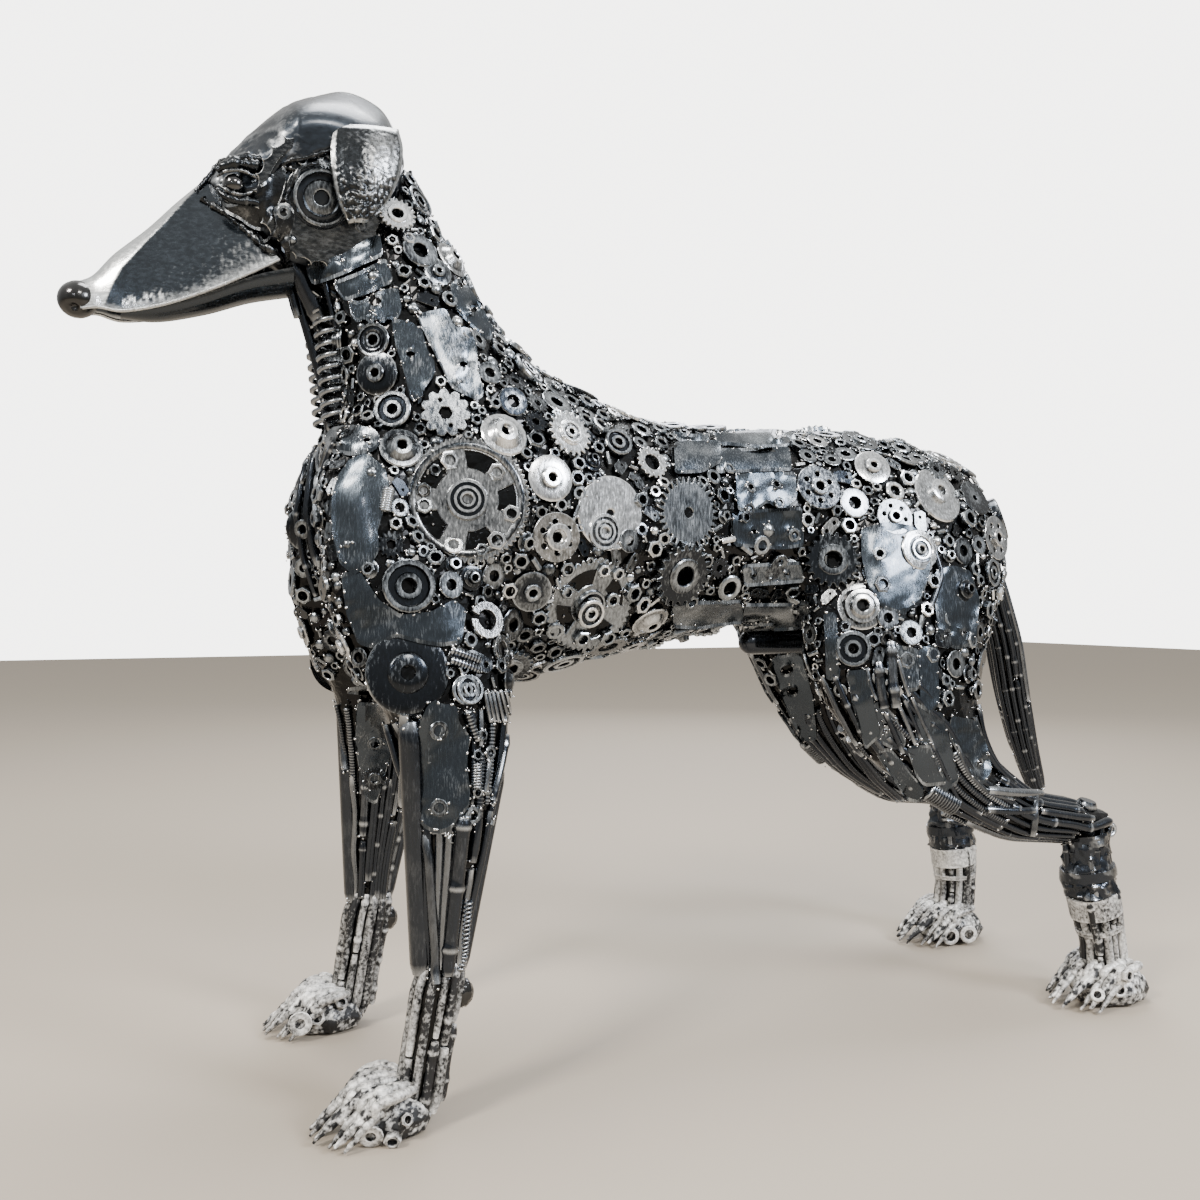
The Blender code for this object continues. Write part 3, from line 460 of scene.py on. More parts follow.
keep_shape("open_gear", cut_shape([toothed(14, .80), ring_of(.36, 6),
                                   *holes(ring_of(.60, 4), .07, 6)], .22))
keep_shape("sprocket", cut_shape([toothed(18, .84, CHAIN_TOOTH), ring_of(.50, 14),
                                  *holes(ring_of(.67, 5), .06, 6)], .16))
CAM_LOBE = ((0, 0), (.14, .45), (.28, .92), (.5, 1), (.72, .92), (.86, .45))
keep_shape("cam_plate", cut_shape([toothed(11, .80, CAM_LOBE), ring_of(.28, 6),
                                   *holes(ring_of(.56, 2, .28), .09, 8)], .13))
keep_shape("slotted_disc", stacked(
    cut_shape([ring_of(1, 24), ring_of(.24, 10), *holes(ring_of(.62, 6), .13, 8)], .17),
    turned_shape(((.2, 0, 0), (.2, .28, .1), (.24, .32, .9), (.36, .32, .6), (.4, .28, .9),
                  (.4, 0, 0)), 14)))
SPLIT_TURNS = [math.radians(12 + 21 * k) for k in range(17)]
keep_shape("split_washer", cut_shape([[polar(1, turn) for turn in SPLIT_TURNS]
                                      + [polar(.56, turn) for turn in reversed(SPLIT_TURNS)]],
                                     .26))
LINK_ENDS = [(side * .5 + .5 * math.cos(math.radians(start + 30 * k)),
              .5 * math.sin(math.radians(start + 30 * k)))
             for side, start in ((-1, 90), (1, -90)) for k in range(7)]
keep_shape("link", cut_shape([LINK_ENDS, *holes([(-.5, 0), (.5, 0)], .2, 8)], .2))
keep_shape("tab", cut_shape([[(-.9, -.45), (.7, -.6), (.95, -.2), (.8, .5), (-.3, .62), (-.95, .3)],
                             *holes([(.35, 0)], .16, 8)], .16))
keep_shape("wing", cut_shape([[(-.95, .1), (-.6, .55), (.1, .75), (.7, .5), (.98, -.1), (.5, -.35),
                               (-.1, -.2), (-.6, -.55)], ring_of(.15, 8)], .15))
for name, sides, rows in (
        ("small_nut", 6, ((.50, 0, 0), (.50, .60, .05), (.58, .74, .9), (.86, .74, .6),
                          (1, .62, 1), (1, 0, .2))),
        ("small_ring", 9, ((.50, 0, 0), (.50, .36, .1), (.60, .42, .95), (.90, .40, .8),
                           (1, 0, .1))),
        ("dome", 8, ((.02, .5, .9), (.4, .46, .8), (.75, .3, .6), (1, .05, .3), (1, -.1, 0),
                     (.02, -.1, 0)))):
    keep_shape(name, turned_shape(rows, sides))
stub = turned_shape(((.02, -1, .4), (.30, -1, .4), (.38, -.92, .9), (.38, .92, .9), (.30, 1, .4),
                     (.02, 1, .4)), 6)
STUB_LIFT = .25                    # a stud lies on its side, a little above the skin
stub.transform(Matrix.Translation((0, 0, STUB_LIFT))
               @ Matrix.Rotation(math.radians(90), 4, "Y"))
keep_shape("stub", stub)

TACK_SHINE = 0.9
tack = bmesh.new()
bmesh.ops.create_uvsphere(tack, u_segments=5, v_segments=2, radius=1.0)
tack_bright = tack.verts.layers.float.new("bright")
for vert in tack.verts:
    vert[tack_bright] = TACK_SHINE
tack_mesh = bpy.data.meshes.new("tack")
tack.to_mesh(tack_mesh)
tack.free()
tack_mesh.shade_smooth()
keep_shape("tack", tack_mesh)

# Where the scrap goes: each piece is laid flat on the skin, turned to the slope under its
# own rim, and pressed in a little, as a welder beds it before tacking it down. A pixel of
# the photograph is followed to the skin that it shows, and the right side mirrors it.
KIND = {name: k for k, name in enumerate(stock_names)}
SINK = 0.0012                      # how deep a piece is bedded in the skin
TONES = {"w": 0.60, "b": 0.32, "m": 0.12, "d": -0.08, "k": -0.22}   # white to black
RIM_FELT, CROWN_SHARE = 0.8, 0.6   # where a piece's rim feels the skin, and rides its crown
placed = []                        # (centre, outward, radius, kind, tone, turn, lift)


def photo_ray(px, py):
    step = Vector(((px - PHOTO_SIDE / 2) / FOCAL_PIXELS, (PHOTO_SIDE / 2 - py) / FOCAL_PIXELS, -1))
    return (camera.rotation_euler.to_matrix() @ step).normalized()


def seen_at(px, py, tree=None):
    """The point of the skin at a pixel of the photograph, and its outward direction."""
    hit, outward, _, _ = (tree or form_tree).ray_cast(CAMERA_PLACE, photo_ray(px, py))
    return hit, outward


def depth_of(point):
    return (point - CAMERA_PLACE).dot(photo_ray(PHOTO_SIDE / 2, PHOTO_SIDE / 2))


def spokes(ahead, count):
    """Directions evenly round a unit direction."""
    across = ahead.orthogonal().normalized()
    over = ahead.cross(across)
    return [across * math.cos(2 * math.pi * k / count) + over * math.sin(2 * math.pi * k / count)
            for k in range(count)]


def rested(point, outward, radius, tries=8):
    """Centre, slope and unevenness of the skin under a round piece."""
    rim = []
    for out in spokes(outward, tries):
        start = point + out * radius * RIM_FELT
        hit, _, _, _ = form_tree.ray_cast(start + outward * radius, -outward, radius * 2)
        if hit is not None:
            rim.append(hit)
    if len(rim) < tries - 1:
        return point, outward, radius
    centre = sum(rim, Vector()) / len(rim)
    slope = Vector()
    for here, there in zip(rim, rim[1:] + rim[:1]):
        slope += (here - centre).cross(there - centre)
    slope.normalize()
    if slope.dot(outward) < 0:
        slope = -slope
    unevenness = max(abs((hit - centre).dot(slope)) for hit in rim)
    crown = max((point - centre).dot(slope), 0)
    return (centre + slope * crown * CROWN_SHARE, slope,
            unevenness + crown * (1 - CROWN_SHARE))


def tilted(slope, most):
    """A direction, leant over a little as a piece held by hand is when it is welded."""
    return (slope + Vector([draw.gauss(0, most) for _ in range(3)])).normalized()


def mirror_spot(point):
    """The same spot on the other side of the skin."""
    hit, outward, _, _ = form_tree.find_nearest(Vector((point.x, -point.y, point.z)))
    return hit, outward


# Scrap that can be told apart in the photograph, in pixels of its 1200 x 1200 frame:
# x, y, radius, kind, tone, then how far it stands off the skin in mm.
NECK_SCRAP = (
    (396, 219, 19, "gear", "w", 5), (418, 203, 17, "shielded_bearing", "m", 1),
    (400, 188, 9, "plain_disc", "m", 2), (419, 252, 19, "washer", "m", 2),
    (437, 273, 15, "hubbed_disc", "m", 2), (374, 277, 6, "dome", "m", 5),
    (375, 341, 17, "shielded_bearing", "d", 3), (378, 374, 22, "hubbed_disc", "d", 2),
    (394, 411, 19, "bearing", "m", 2), (362, 413, 8, "nut", "m", 3),
    (489, 374, 13, "washer", "m", 2), (445, 414, 25, "cam_plate", "m", 3),
    (401, 449, 22, "cup_washer", "m", 2),
    (440, 383, 6, "nut", "m", 3), (350, 437, 14, "link", "d", 2), (432, 236, 10, "nut", "m", 1),
    (408, 240, 7, "nut", "b", 1), (404, 273, 8, "nut", "m", 1), (449, 300, 9, "ring", "m", 1),
    (478, 340, 11, "washer", "m", 1), (466, 336, 8, "nut", "b", 1), (497, 352, 9, "nut", "m", 1),
)
SHOULDER_SCRAP = (
    (338, 466, 9, "tab", "m", 3), (334, 487, 9, "tab", "m", 3), (331, 509, 9, "tab", "d", 3),
    (331, 531, 9, "tab", "m", 3), (334, 553, 9, "tab", "d", 3),
    (448, 461, 10, "nut", "b", 1), (496, 472, 9, "nut", "b", 1), (511, 514, 9, "nut", "b", 1),
    (496, 541, 10, "nut", "b", 1), (481, 550, 7, "nut", "m", 1), (453, 546, 10, "ring", "b", 1),
    (424, 507, 9, "nut", "m", 1), (423, 490, 8, "nut", "d", 1), (435, 470, 6, "nut", "m", 1),
    (407, 587, 27, "bearing", "d", 4), (369, 569, 10, "flange_nut", "m", 1),
    (391, 545, 14, "open_gear", "d", 2), (450, 585, 14, "washer", "m", 2),
    (484, 621, 19, "split_washer", "b", 3), (509, 662, 24, "gear", "m", 3),
    (464, 690, 15, "bearing", "m", 3), (503, 436, 25, "cup_washer", "w", 2),
    (438, 730, 9, "plain_disc", "d", 7), (440, 806, 8.5, "plain_disc", "d", 7),
    (500, 436, 12, "ring", "w", 6), (537, 404, 12, "open_gear", "m", 1),
    (566, 436, 25, "gear", "w", 3), (566, 436, 12, "bearing", "w", 9),
    (597, 449, 7, "nut", "m", 1), (617, 444, 15, "bearing", "m", 2),
    (650, 464, 18, "sprocket", "w", 3), (549, 479, 24, "hubbed_disc", "w", 3),
    (540, 512, 7, "nut", "m", 1), (555, 537, 25, "slotted_disc", "b", 2),
    (555, 537, 14, "ring", "b", 6), (628, 541, 12, "washer", "m", 2), (653, 549, 9, "nut", "b", 1),
    (531, 591, 21, "hubbed_disc", "m", 2), (587, 611, 15, "bearing", "b", 6),
    (679, 573, 33, "gear", "d", 2), (649, 619, 20, "cup_washer", "b", 3),
    (727, 586, 14, "ring", "m", 2), (631, 592, 10, "nut", "m", 1), (567, 569, 8, "nut", "m", 1),
    (566, 592, 7, "nut", "m", 1), (603, 570, 7, "nut", "w", 1), (617, 573, 7, "nut", "b", 1),
    (612, 600, 8, "ring", "m", 1), (581, 637, 9, "nut", "m", 1), (555, 630, 10, "ring", "m", 1),
    (606, 636, 9, "nut", "m", 1), (690, 600, 8, "nut", "m", 1), (705, 560, 8, "nut", "m", 1),
    (662, 590, 7, "nut", "b", 1), (520, 560, 9, "nut", "m", 1), (478, 603, 8, "nut", "m", 1),
    (470, 640, 8, "ring", "d", 1), (640, 500, 8, "nut", "m", 1), (508, 590, 9, "nut", "b", 1),
    (577, 465, 8, "nut", "m", 1), (525, 455, 7, "nut", "m", 1), (560, 505, 7, "nut", "b", 1),
    (395, 524, 7, "nut", "b", 1), (372, 474, 6, "dome", "d", 6), (349, 545, 6, "dome", "d", 6),
    (304, 568, 10, "washer", "m", 1), (305, 594, 9, "nut", "m", 1), (316, 617, 6, "dome", "m", 4),
    (330, 657, 6, "dome", "m", 4), (294, 475, 12, "tab", "m", 2), (284, 524, 12, "tab", "m", 2),
)
FLANK_SCRAP = (
    (748, 490, 6, "ring", "d", 5), (774, 487, 6, "ring", "d", 5), (747, 509, 6, "ring", "d", 5),
    (777, 504, 6, "ring", "d", 5), (742, 518, 6, "nut", "d", 5), (792, 535, 7, "ring", "m", 4),
    (767, 530, 8, "dome", "m", 4), (817, 489, 24, "slotted_disc", "m", 2),
    (774, 567, 16, "link", "m", 3), (796, 603, 12, "washer", "m", 2), (797, 447, 8, "nut", "m", 1),
    (817, 442, 11, "washer", "b", 1), (555, 388, 14, "hubbed_disc", "m", 1),
    (845, 455, 12, "washer", "m", 1),
    (727, 470, 7, "nut", "m", 1), (690, 560, 8, "nut", "m", 1),
    (829, 527, 12, "link", "b", 2), (806, 520, 8, "nut", "b", 1), (726, 540, 8, "stub", "b", 3),
    (744, 549, 8, "stub", "m", 3), (760, 545, 10, "ring", "m", 2), (818, 560, 10, "nut", "m", 1),
    (585, 405, 9, "nut", "m", 1), (601, 418, 8, "nut", "m", 1), (640, 432, 11, "ring", "m", 1),
    (658, 432, 8, "nut", "m", 1),
)
LEG_SCRAP = (
    (437, 730, 10, "ring", "k", 6), (439, 807, 9, "ring", "k", 6),
    (375, 741, 8, "ring", "k", 4), (374, 777, 12, "gear", "d", 5),
    (475, 755, 6, "nut", "m", 3), (475, 792, 6, "nut", "m", 3), (487, 753, 7, "ring", "m", 4),
    (486, 791, 5, "washer", "m", 4), (471, 815, 9, "ring", "m", 3), (480, 735, 6, "nut", "m", 3),
    (468, 690, 15, "bearing", "m", 3), (488, 830, 6, "nut", "m", 2), (452, 838, 6, "nut", "d", 2),
)
RUMP_SCRAP = (
    (871, 469, 19, "hubbed_disc", "w", 3), (853, 504, 16, "washer", "m", 3),
    (893, 518, 19, "slotted_disc", "m", 3), (917, 551, 21, "ridged_disc", "b", 4),
    (946, 542, 7, "nut", "m", 2), (931, 582, 8, "nut", "m", 2), (962, 590, 13, "cone", "d", 4),
    (990, 573, 14, "bearing", "m", 2), (832, 561, 28, "gear", "d", 2),
    (852, 649, 18, "bearing", "m", 3), (887, 618, 12, "washer", "m", 2),
    (910, 633, 13, "washer", "m", 2),
    (954, 664, 14, "washer", "m", 2), (944, 699, 9, "nut", "m", 2), (976, 763, 7, "ring", "m", 3),
    (878, 555, 7, "ring", "m", 5), (942, 640, 14, "tab", "d", 3), (905, 480, 9, "nut", "b", 1),
    (880, 585, 9, "nut", "m", 2), (935, 470, 12, "open_gear", "m", 1),
    (966, 520, 10, "nut", "m", 1),
    (978, 545, 10, "washer", "m", 1), (900, 450, 10, "ring", "m", 1), (872, 640, 8, "nut", "m", 1),
    (985, 610, 9, "nut", "m", 1), (925, 610, 8, "nut", "b", 1), (948, 618, 9, "ring", "m", 1),
    (968, 640, 9, "nut", "m", 1), (930, 655, 9, "nut", "m", 1), (975, 690, 10, "ring", "d", 1),
    (925, 680, 9, "ring", "m", 1), (905, 660, 9, "nut", "m", 1),
)
LEANING, PAVING_LEANING = 0.05, 0.085    # how far by hand a piece leans over, at random
draw = random.Random(7)
for px, py, pixels, kind, tone, lift in (*NECK_SCRAP, *SHOULDER_SCRAP, *FLANK_SCRAP, *RUMP_SCRAP,
                                         *LEG_SCRAP):
    point, outward = seen_at(px, py)
    if point is None:
        continue
    radius = pixels * depth_of(point) / FOCAL_PIXELS
    turn = draw.uniform(0, 2 * math.pi)
    for spot, away in ((point, outward), mirror_spot(point)):
        if spot is not None:
            centre, slope, _ = rested(spot, away, radius)
            placed.append((centre, tilted(slope, LEANING), radius, KIND[kind], TONES[tone], turn,
                           lift / 1000))

# Plates: offcuts of 3 to 4 mm sheet, brackets and straps, bent to the dog's shape and
# welded on first, with their rims ground bright. Each is an outline in the photograph's
# pixels with its round holes, laid over the skin that it hides, and again on the right.
PLATE_STEP = 5.0                   # pixels between the points of a laid plate
PLATE_THICK, PLATE_BEVEL = 0.0036, 0.0007
CORNER_CUT, MOST_CUT = 2.5, 0.3    # cut off at each side of a corner: pixels, share of a side
PLATES = (
    # tone, top above the skin in mm, holes (x, y, radius), outline
    ("d", 4.5, ((411, 354, 5), (416, 399, 3)), (
        (392, 320), (410, 323), (422, 331), (427, 351), (435, 364), (434, 374), (424, 387),
        (421, 402), (411, 398), (402, 362), (395, 341))),
    ("m", 5.5, ((461, 365, 5), (457, 384, 2.5)), (
        (417, 316), (443, 311), (453, 330), (467, 330), (474, 347), (476, 375), (482, 394),
        (475, 399), (450, 387), (439, 364), (429, 344), (420, 324))),
    ("d", 5.0, ((457, 286, 4), (470, 311, 4)), (
        (446, 288), (455, 280), (464, 287), (478, 309), (492, 335), (485, 340), (468, 326),
        (453, 308))),
    ("d", 7.0, ((345, 265, 1.2),), ((311, 268), (345, 258), (370, 243), (382, 239), (384, 256),
                                    (350, 273), (318, 283))),
    ("d", 5.0, ((373, 277, 4.5),), ((336, 283), (362, 273), (386, 260), (393, 281), (368, 292),
                                    (347, 299))),
    ("d", 4.0, ((376, 301, 6.5), (374, 314, 2)), (
        (350, 300), (362, 303), (380, 292), (398, 289), (402, 309), (395, 320), (389, 315),
        (383, 322), (378, 315), (372, 322), (366, 315), (359, 321), (353, 313))),
    ("m", 5.0, ((341, 441, 4), (368, 441, 4)), ((327, 441), (334, 431), (356, 428), (374, 431),
                                                (382, 440), (376, 450), (354, 455), (334, 451))),
    ("d", 6.0, (), ((352, 462), (368, 456), (384, 470), (389, 490), (382, 512), (378, 530),
                    (380, 548), (372, 562), (356, 572), (342, 560), (334, 530), (334, 500),
                    (340, 478))),
    ("d", 4.0, (), ((343, 573), (362, 572), (380, 600), (400, 615), (430, 612), (452, 600),
                    (464, 610), (460, 640), (440, 643), (420, 640), (395, 633), (375, 645),
                    (360, 640), (348, 610))),
    ("m", 4.0, ((711, 440, 4), (779, 437, 4.5)), (
        (668, 434), (690, 437), (730, 435), (770, 432), (792, 434), (796, 446), (760, 448),
        (722, 445), (700, 444), (680, 442))),
    ("m", 6.0, (), ((671, 446), (718, 444), (719, 462), (700, 472), (672, 474))),
    ("m", 4.5, (), ((714, 452), (788, 450), (790, 470), (714, 472))),
    ("d", 5.0, ((748, 490, 4), (774, 487, 4)), ((733, 476), (793, 474), (795, 500), (780, 510),
                                                (765, 500), (750, 510), (735, 508))),
    ("k", 4.0, ((752, 530, 4), (789, 531, 4)), ((730, 511), (800, 507), (802, 543), (780, 546),
                                                (732, 543))),
    ("m", 4.0, (), ((670, 600), (740, 597), (742, 617), (700, 623), (672, 622))),
    ("m", 4.5, ((796, 606, 4),), ((742, 600), (812, 600), (810, 622), (742, 626))),
    ("m", 4.0, ((752, 572, 3), (786, 571, 3)), ((740, 563), (800, 560), (803, 578), (742, 582))),
    ("d", 5.0, ((878, 555, 5),), ((860, 530), (885, 523), (910, 527), (925, 540), (928, 570),
                                  (918, 600), (900, 612), (880, 606), (866, 585), (860, 556))),
    ("d", 5.0, ((944, 633, 4), (961, 631, 3)), ((932, 572), (950, 566), (968, 572), (976, 600),
                                                (972, 640), (955, 647), (936, 640), (932, 606))),
    ("d", 7.0, (), ((421, 718), (426, 705), (434, 699), (440, 704), (449, 704), (456, 707),
                    (457, 722), (468, 736), (466, 746), (465, 767), (468, 788), (467, 802),
                    (457, 814), (449, 825), (439, 829), (429, 825), (422, 814), (416, 797),
                    (415, 769), (416, 749), (420, 731))),
    ("d", 6.0, (), ((905, 745), (927, 743), (936, 767), (945, 779), (923, 781), (914, 770))),
    ("d", 6.0, ((977, 762, 3.5),), ((947, 716), (970, 720), (981, 743), (988, 770), (981, 781),
                                    (970, 779), (956, 754), (945, 734))),
    ("m", 6.0, (), ((892, 645), (916, 649), (916, 687), (905, 689))),
    ("k", 5.5, (), ((916, 648), (934, 645), (936, 700), (926, 712), (917, 700))),
    ("k", 6.5, (), ((845, 671), (864, 669), (880, 730), (866, 744))),
    ("d", 6.5, (), ((876, 747), (889, 745), (925, 785), (921, 796), (908, 792))),
    ("d", 6.5, (), ((825, 613), (837, 613), (840, 676), (828, 676))),
    ("d", 5.5, ((787, 666, 6), (793, 687, 5)), ((772, 655), (800, 650), (812, 690), (818, 735),
                                                (803, 735), (782, 690))),
    ("k", 4.0, (), ((912, 700), (930, 712), (940, 712), (948, 742), (957, 778), (942, 788),
                    (925, 772), (914, 738))),
    ("d", 3.0, ((885, 722, 3),), ((866, 706), (880, 700), (895, 716), (906, 742), (893, 746),
                                  (878, 738))),
    ("d", 5.5, ((375, 741, 5),), ((358, 700), (386, 700), (390, 750), (376, 800), (366, 795),
                                  (356, 740))),
)


def rounded_off(outline):
    """An outline with its corners cut a little."""
    cut = []
    for (ax, ay), (bx, by) in zip(outline, outline[1:] + outline[:1]):
        back = min(CORNER_CUT / max(math.hypot(bx - ax, by - ay), 0.1), MOST_CUT)
        cut += [(ax + (bx - ax) * t, ay + (by - ay) * t) for t in (back, 1 - back)]
    return cut


def inside(x, y, outline):
    within = False
    for (ax, ay), (bx, by) in zip(outline, outline[1:] + outline[:1]):
        if (ay > y) != (by > y) and x < (bx - ax) * (y - ay) / (by - ay) + ax:
            within = not within
    return within


NET_CLEAR = 0.6                    # share of a step that inner points keep from the rim
NET_MERGED = 1e-4                  # pixels within which two points of a net are one


def plate_net(outline, cuts, step=PLATE_STEP):
    """Points and triangles of a flat outline with round holes, and which points are rim."""
    rims = [outline] + [holes([(x, y)], r, 12)[0] for x, y, r in cuts]
    points, edges = [], []
    for rim in rims:
        line = []
        for (ax, ay), (bx, by) in zip(rim, rim[1:] + rim[:1]):
            parts = max(int(round(math.hypot(bx - ax, by - ay) / step)), 1)
            line += [(ax + (bx - ax) * j / parts, ay + (by - ay) * j / parts)
                     for j in range(parts)]
        start = len(points)
        points += line
        edges += [(start + j, start + (j + 1) % len(line)) for j in range(len(line))]
    rim_count = len(points)

    def solid(x, y):
        return inside(x, y, outline) and not any(math.hypot(x - hx, y - hy) < r
                                                 for hx, hy, r in cuts)

    rim_points = np.array(points)
    for x in np.arange(min(p[0] for p in outline), max(p[0] for p in outline), step):
        for y in np.arange(min(p[1] for p in outline), max(p[1] for p in outline), step):
            if solid(x, y) and np.hypot(*(rim_points - (x, y)).T).min() > step * NET_CLEAR:
                points.append((x, y))
    flat, _, faces, origins, _, _ = delaunay_2d_cdt([Vector(p) for p in points], edges, [], 0,
                                                    NET_MERGED)
    kept = []
    for face in faces:
        middle = sum((flat[k] for k in face), Vector((0, 0))) / len(face)
        if solid(*middle):
            kept.append(tuple(face))
    rim = [any(k < rim_count for k in origin) for origin in origins]
    return [tuple(p) for p in flat], kept, rim


def evened(values, faces, times):
    """Values on a net's points, each drawn towards its neighbours."""
    near = [set() for _ in values]
    for face in faces:
        for k in face:
            near[k].update(j for j in face if j != k)
    for _ in range(times):
        values = [value * 0.5 + sum((values[j] for j in around), value * 0) * (0.5 / len(around))
                  if around else value for value, around in zip(values, near)]
    return values


def laid_left(flat, faces, tree):
    """A net's points on what the camera sees at their pixels, and the outward directions."""
    hits = [seen_at(x, y, tree) for x, y in flat]
    known = [k for k, (hit, _) in enumerate(hits) if hit is not None]
    reach, outward = [], []
    for k, (x, y) in enumerate(flat):
        j = k if hits[k][0] is not None else min(
            known, key=lambda n: math.hypot(flat[n][0] - x, flat[n][1] - y))
        hit, slope = hits[j]
        ray = photo_ray(x, y)
        reach.append((hit - CAMERA_PLACE).dot(slope) / ray.dot(slope) if j != k
                     else (hit - CAMERA_PLACE).length)
        outward.append(slope)
    reach = evened(reach, faces, 3)
    outward = [v.normalized() for v in evened(outward, faces, 6)]
    return [CAMERA_PLACE + photo_ray(*p) * r for p, r in zip(flat, reach)], outward


FACE_BRIGHT = 0.42
BUCKLED = 0.0007                   # how far a plate's face is beaten out of true


def lumps(point, size, seed=0.0):
    """Uneven ground, about -1 to 1, with dents of a size in metres."""
    return noise.fractal(point / size + Vector((seed, 0, 0)), 0.7, 2.2, 4)


def add_net(bm, points, outward, faces, tone, lift):
    """A net as the top sheet of a plate, at its height above the skin."""
    shade = bm.verts.layers.float["tone"]
    made = []
    for point, slope in zip(points, outward):
        vert = bm.verts.new(point + slope * (lift + BUCKLED * lumps(point, 0.03)))
        vert[shade] = tone
        made.append(vert)
    for face in faces:
        a, b, c = (points[k] for k in face[:3])
        turned_in = (b - a).cross(c - a).dot(outward[face[0]]) < 0
        bm.faces.new([made[k] for k in (reversed(face) if turned_in else face)])


def net_mesh():
    bm = bmesh.new()
    for label in ("bright", "tone"):
        bm.verts.layers.float.new(label)
    return bm


RIM_WIDTH = 0.0011                 # the strip along a plate's edge that the grinder made bright
RIM_BRIGHT = 0.66
BEVELLED_FROM = math.radians(55)   # edges sharper than this get a bevel


def thickened(bm, name, thick=PLATE_THICK, bevel=PLATE_BEVEL):
    """Top sheets as closed plates with a small bevel, each with a narrow bright rim."""
    bmesh.ops.inset_region(bm, faces=bm.faces[:], thickness=RIM_WIDTH, use_boundary=True,
                           use_even_offset=True)
    bright = bm.verts.layers.float["bright"]
    for vert in bm.verts:
        vert[bright] = (RIM_BRIGHT + 0.7 * lumps(vert.co, 0.012) if vert.is_boundary
                        else FACE_BRIGHT + 0.22 * lumps(vert.co, 0.03, 5.0))
    mesh = bpy.data.meshes.new(name)
    bm.to_mesh(mesh)
    bm.free()
    holder = object_of(name, mesh)
    solid = holder.modifiers.new("thick", "SOLIDIFY")
    solid.thickness = thick
    solid.offset = -1
    edge = holder.modifiers.new("edge", "BEVEL")
    edge.width = bevel
    edge.segments = 1
    edge.limit_method = "ANGLE"
    edge.angle_limit = BEVELLED_FROM
    return shaded(as_mesh(holder), 38)


# Rolled sheet under clear lacquer: blue-grey where the mill skin is left, silver where a
# flap disc has gone over it, in long strokes.
sheet_steel = metal("brushed_sheet_steel", "3a4148", "c9cfd4", 0.23, 0.0013, coat=0.4,
                    pits=0.0002, brushed=(1.0, 1.0, 0.16), contrast=0.50, lift=0.05)
covered = []                       # (point, outward, radius) that the paving leaves clear
COVERED_REACH = 0.0030
tacks = []                         # (point, outward, reach) where a tack weld holds an edge
EDGE_TACK, TACK_SINK = 0.0016, 0.0018
both_sides = {side: net_mesh() for side in SIDES}
for tone, top, holes_in, outline in PLATES:
    flat, faces, rim = plate_net(rounded_off(list(outline)), holes_in)
    points, outward = laid_left(flat, faces, form_tree)
    add_net(both_sides["left"], points, outward, faces, TONES[tone], top / 1000)
    across = [mirror_spot(point) for point in points]
    opposite = evened([hit for hit, _ in across], faces, 2)
    away = [v.normalized() for v in evened([slope for _, slope in across], faces, 4)]
    add_net(both_sides["right"], opposite, away, faces, TONES[tone], top / 1000)
    for spots, slopes in ((points, outward), (opposite, away)):
        covered += [(spot, slope, COVERED_REACH) for spot, slope in zip(spots, slopes)]
        tacks += [(spot + slope * (top / 1000 - TACK_SINK), slope, EDGE_TACK)
                  for spot, slope, edge in zip(spots, slopes, rim) if edge][::3]
for side, bm in both_sides.items():
    add_piece("laid_plates_" + side, thickened(bm, "laid_plates_" + side), sheet_steel,
              "polished_sheet")


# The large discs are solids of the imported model: each detailed shape takes the centre,
# axis and radius of the one that it stands for.
def disc_frame(name):
    """Centre of the back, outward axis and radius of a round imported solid."""
    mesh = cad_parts[name].data
    widest = max(mesh.polygons, key=lambda face: face.area)
    axis = widest.normal.copy()
    if axis.y * (1 if name.endswith("right") else -1) < 0:
        axis = -axis
    points = [v.co for v in mesh.vertices]
    low = min(p.dot(axis) for p in points)
    middle = sum(points, Vector()) / len(points)
    reach = max((p - middle - axis * (p - middle).dot(axis)).length for p in points)
    return middle + axis * (low - middle.dot(axis)), axis, reach


DISC_FRAMES = {name: disc_frame(name) for name in DISC_NODES}
for back, axis, reach in DISC_FRAMES.values():
    placed.append((back, axis, reach, -1, 0, 0, 0))

# Between them the real dog is paved with whatever fitted: large pieces first, then ever
# smaller ones in what is left, down to nuts and stubs. A seeded draw does the same here,
# over both flanks, back, belly, neck and thighs, and never on a lower leg.
PAVING_ROOM = 20000
SAME_FACE = -0.2                   # below this cosine two pieces lie on opposite faces
centres = np.zeros((PAVING_ROOM, 3))
outwards = np.zeros((PAVING_ROOM, 3))
radii = np.zeros(PAVING_ROOM)
count = 0


def note(centre, slope, radius):
    global count
    centres[count] = centre
    outwards[count] = slope
    radii[count] = radius
    count += 1


def free(point, slope, radius, overlap):
    near = ((centres[:count] - np.array(point)) ** 2).sum(axis=1)
    limit = (overlap * (radii[:count] + radius)) ** 2
    facing = outwards[:count] @ np.array(slope) > SAME_FACE
    return not bool(((near < limit) & facing).any())


for centre, slope, radius, *_ in placed + covered:
    note(centre, slope, radius)

corner_areas = [(FORM_POINTS[b] - FORM_POINTS[a]).cross(FORM_POINTS[c] - FORM_POINTS[a]).length
                for a, b, c in FORM_TRIANGLES]
running = np.cumsum(corner_areas)


def any_spot():
    """A random point of the skin, evenly by area, and its outward direction."""
    pick = int(np.searchsorted(running, draw.random() * running[-1]))
    a, b, c = (FORM_POINTS[k] for k in FORM_TRIANGLES[pick])
    u, v = draw.random(), draw.random()
    if u + v > 1:
        u, v = 1 - u, 1 - v
    return a + (b - a) * u + (c - a) * v, (b - a).cross(c - a).normalized()


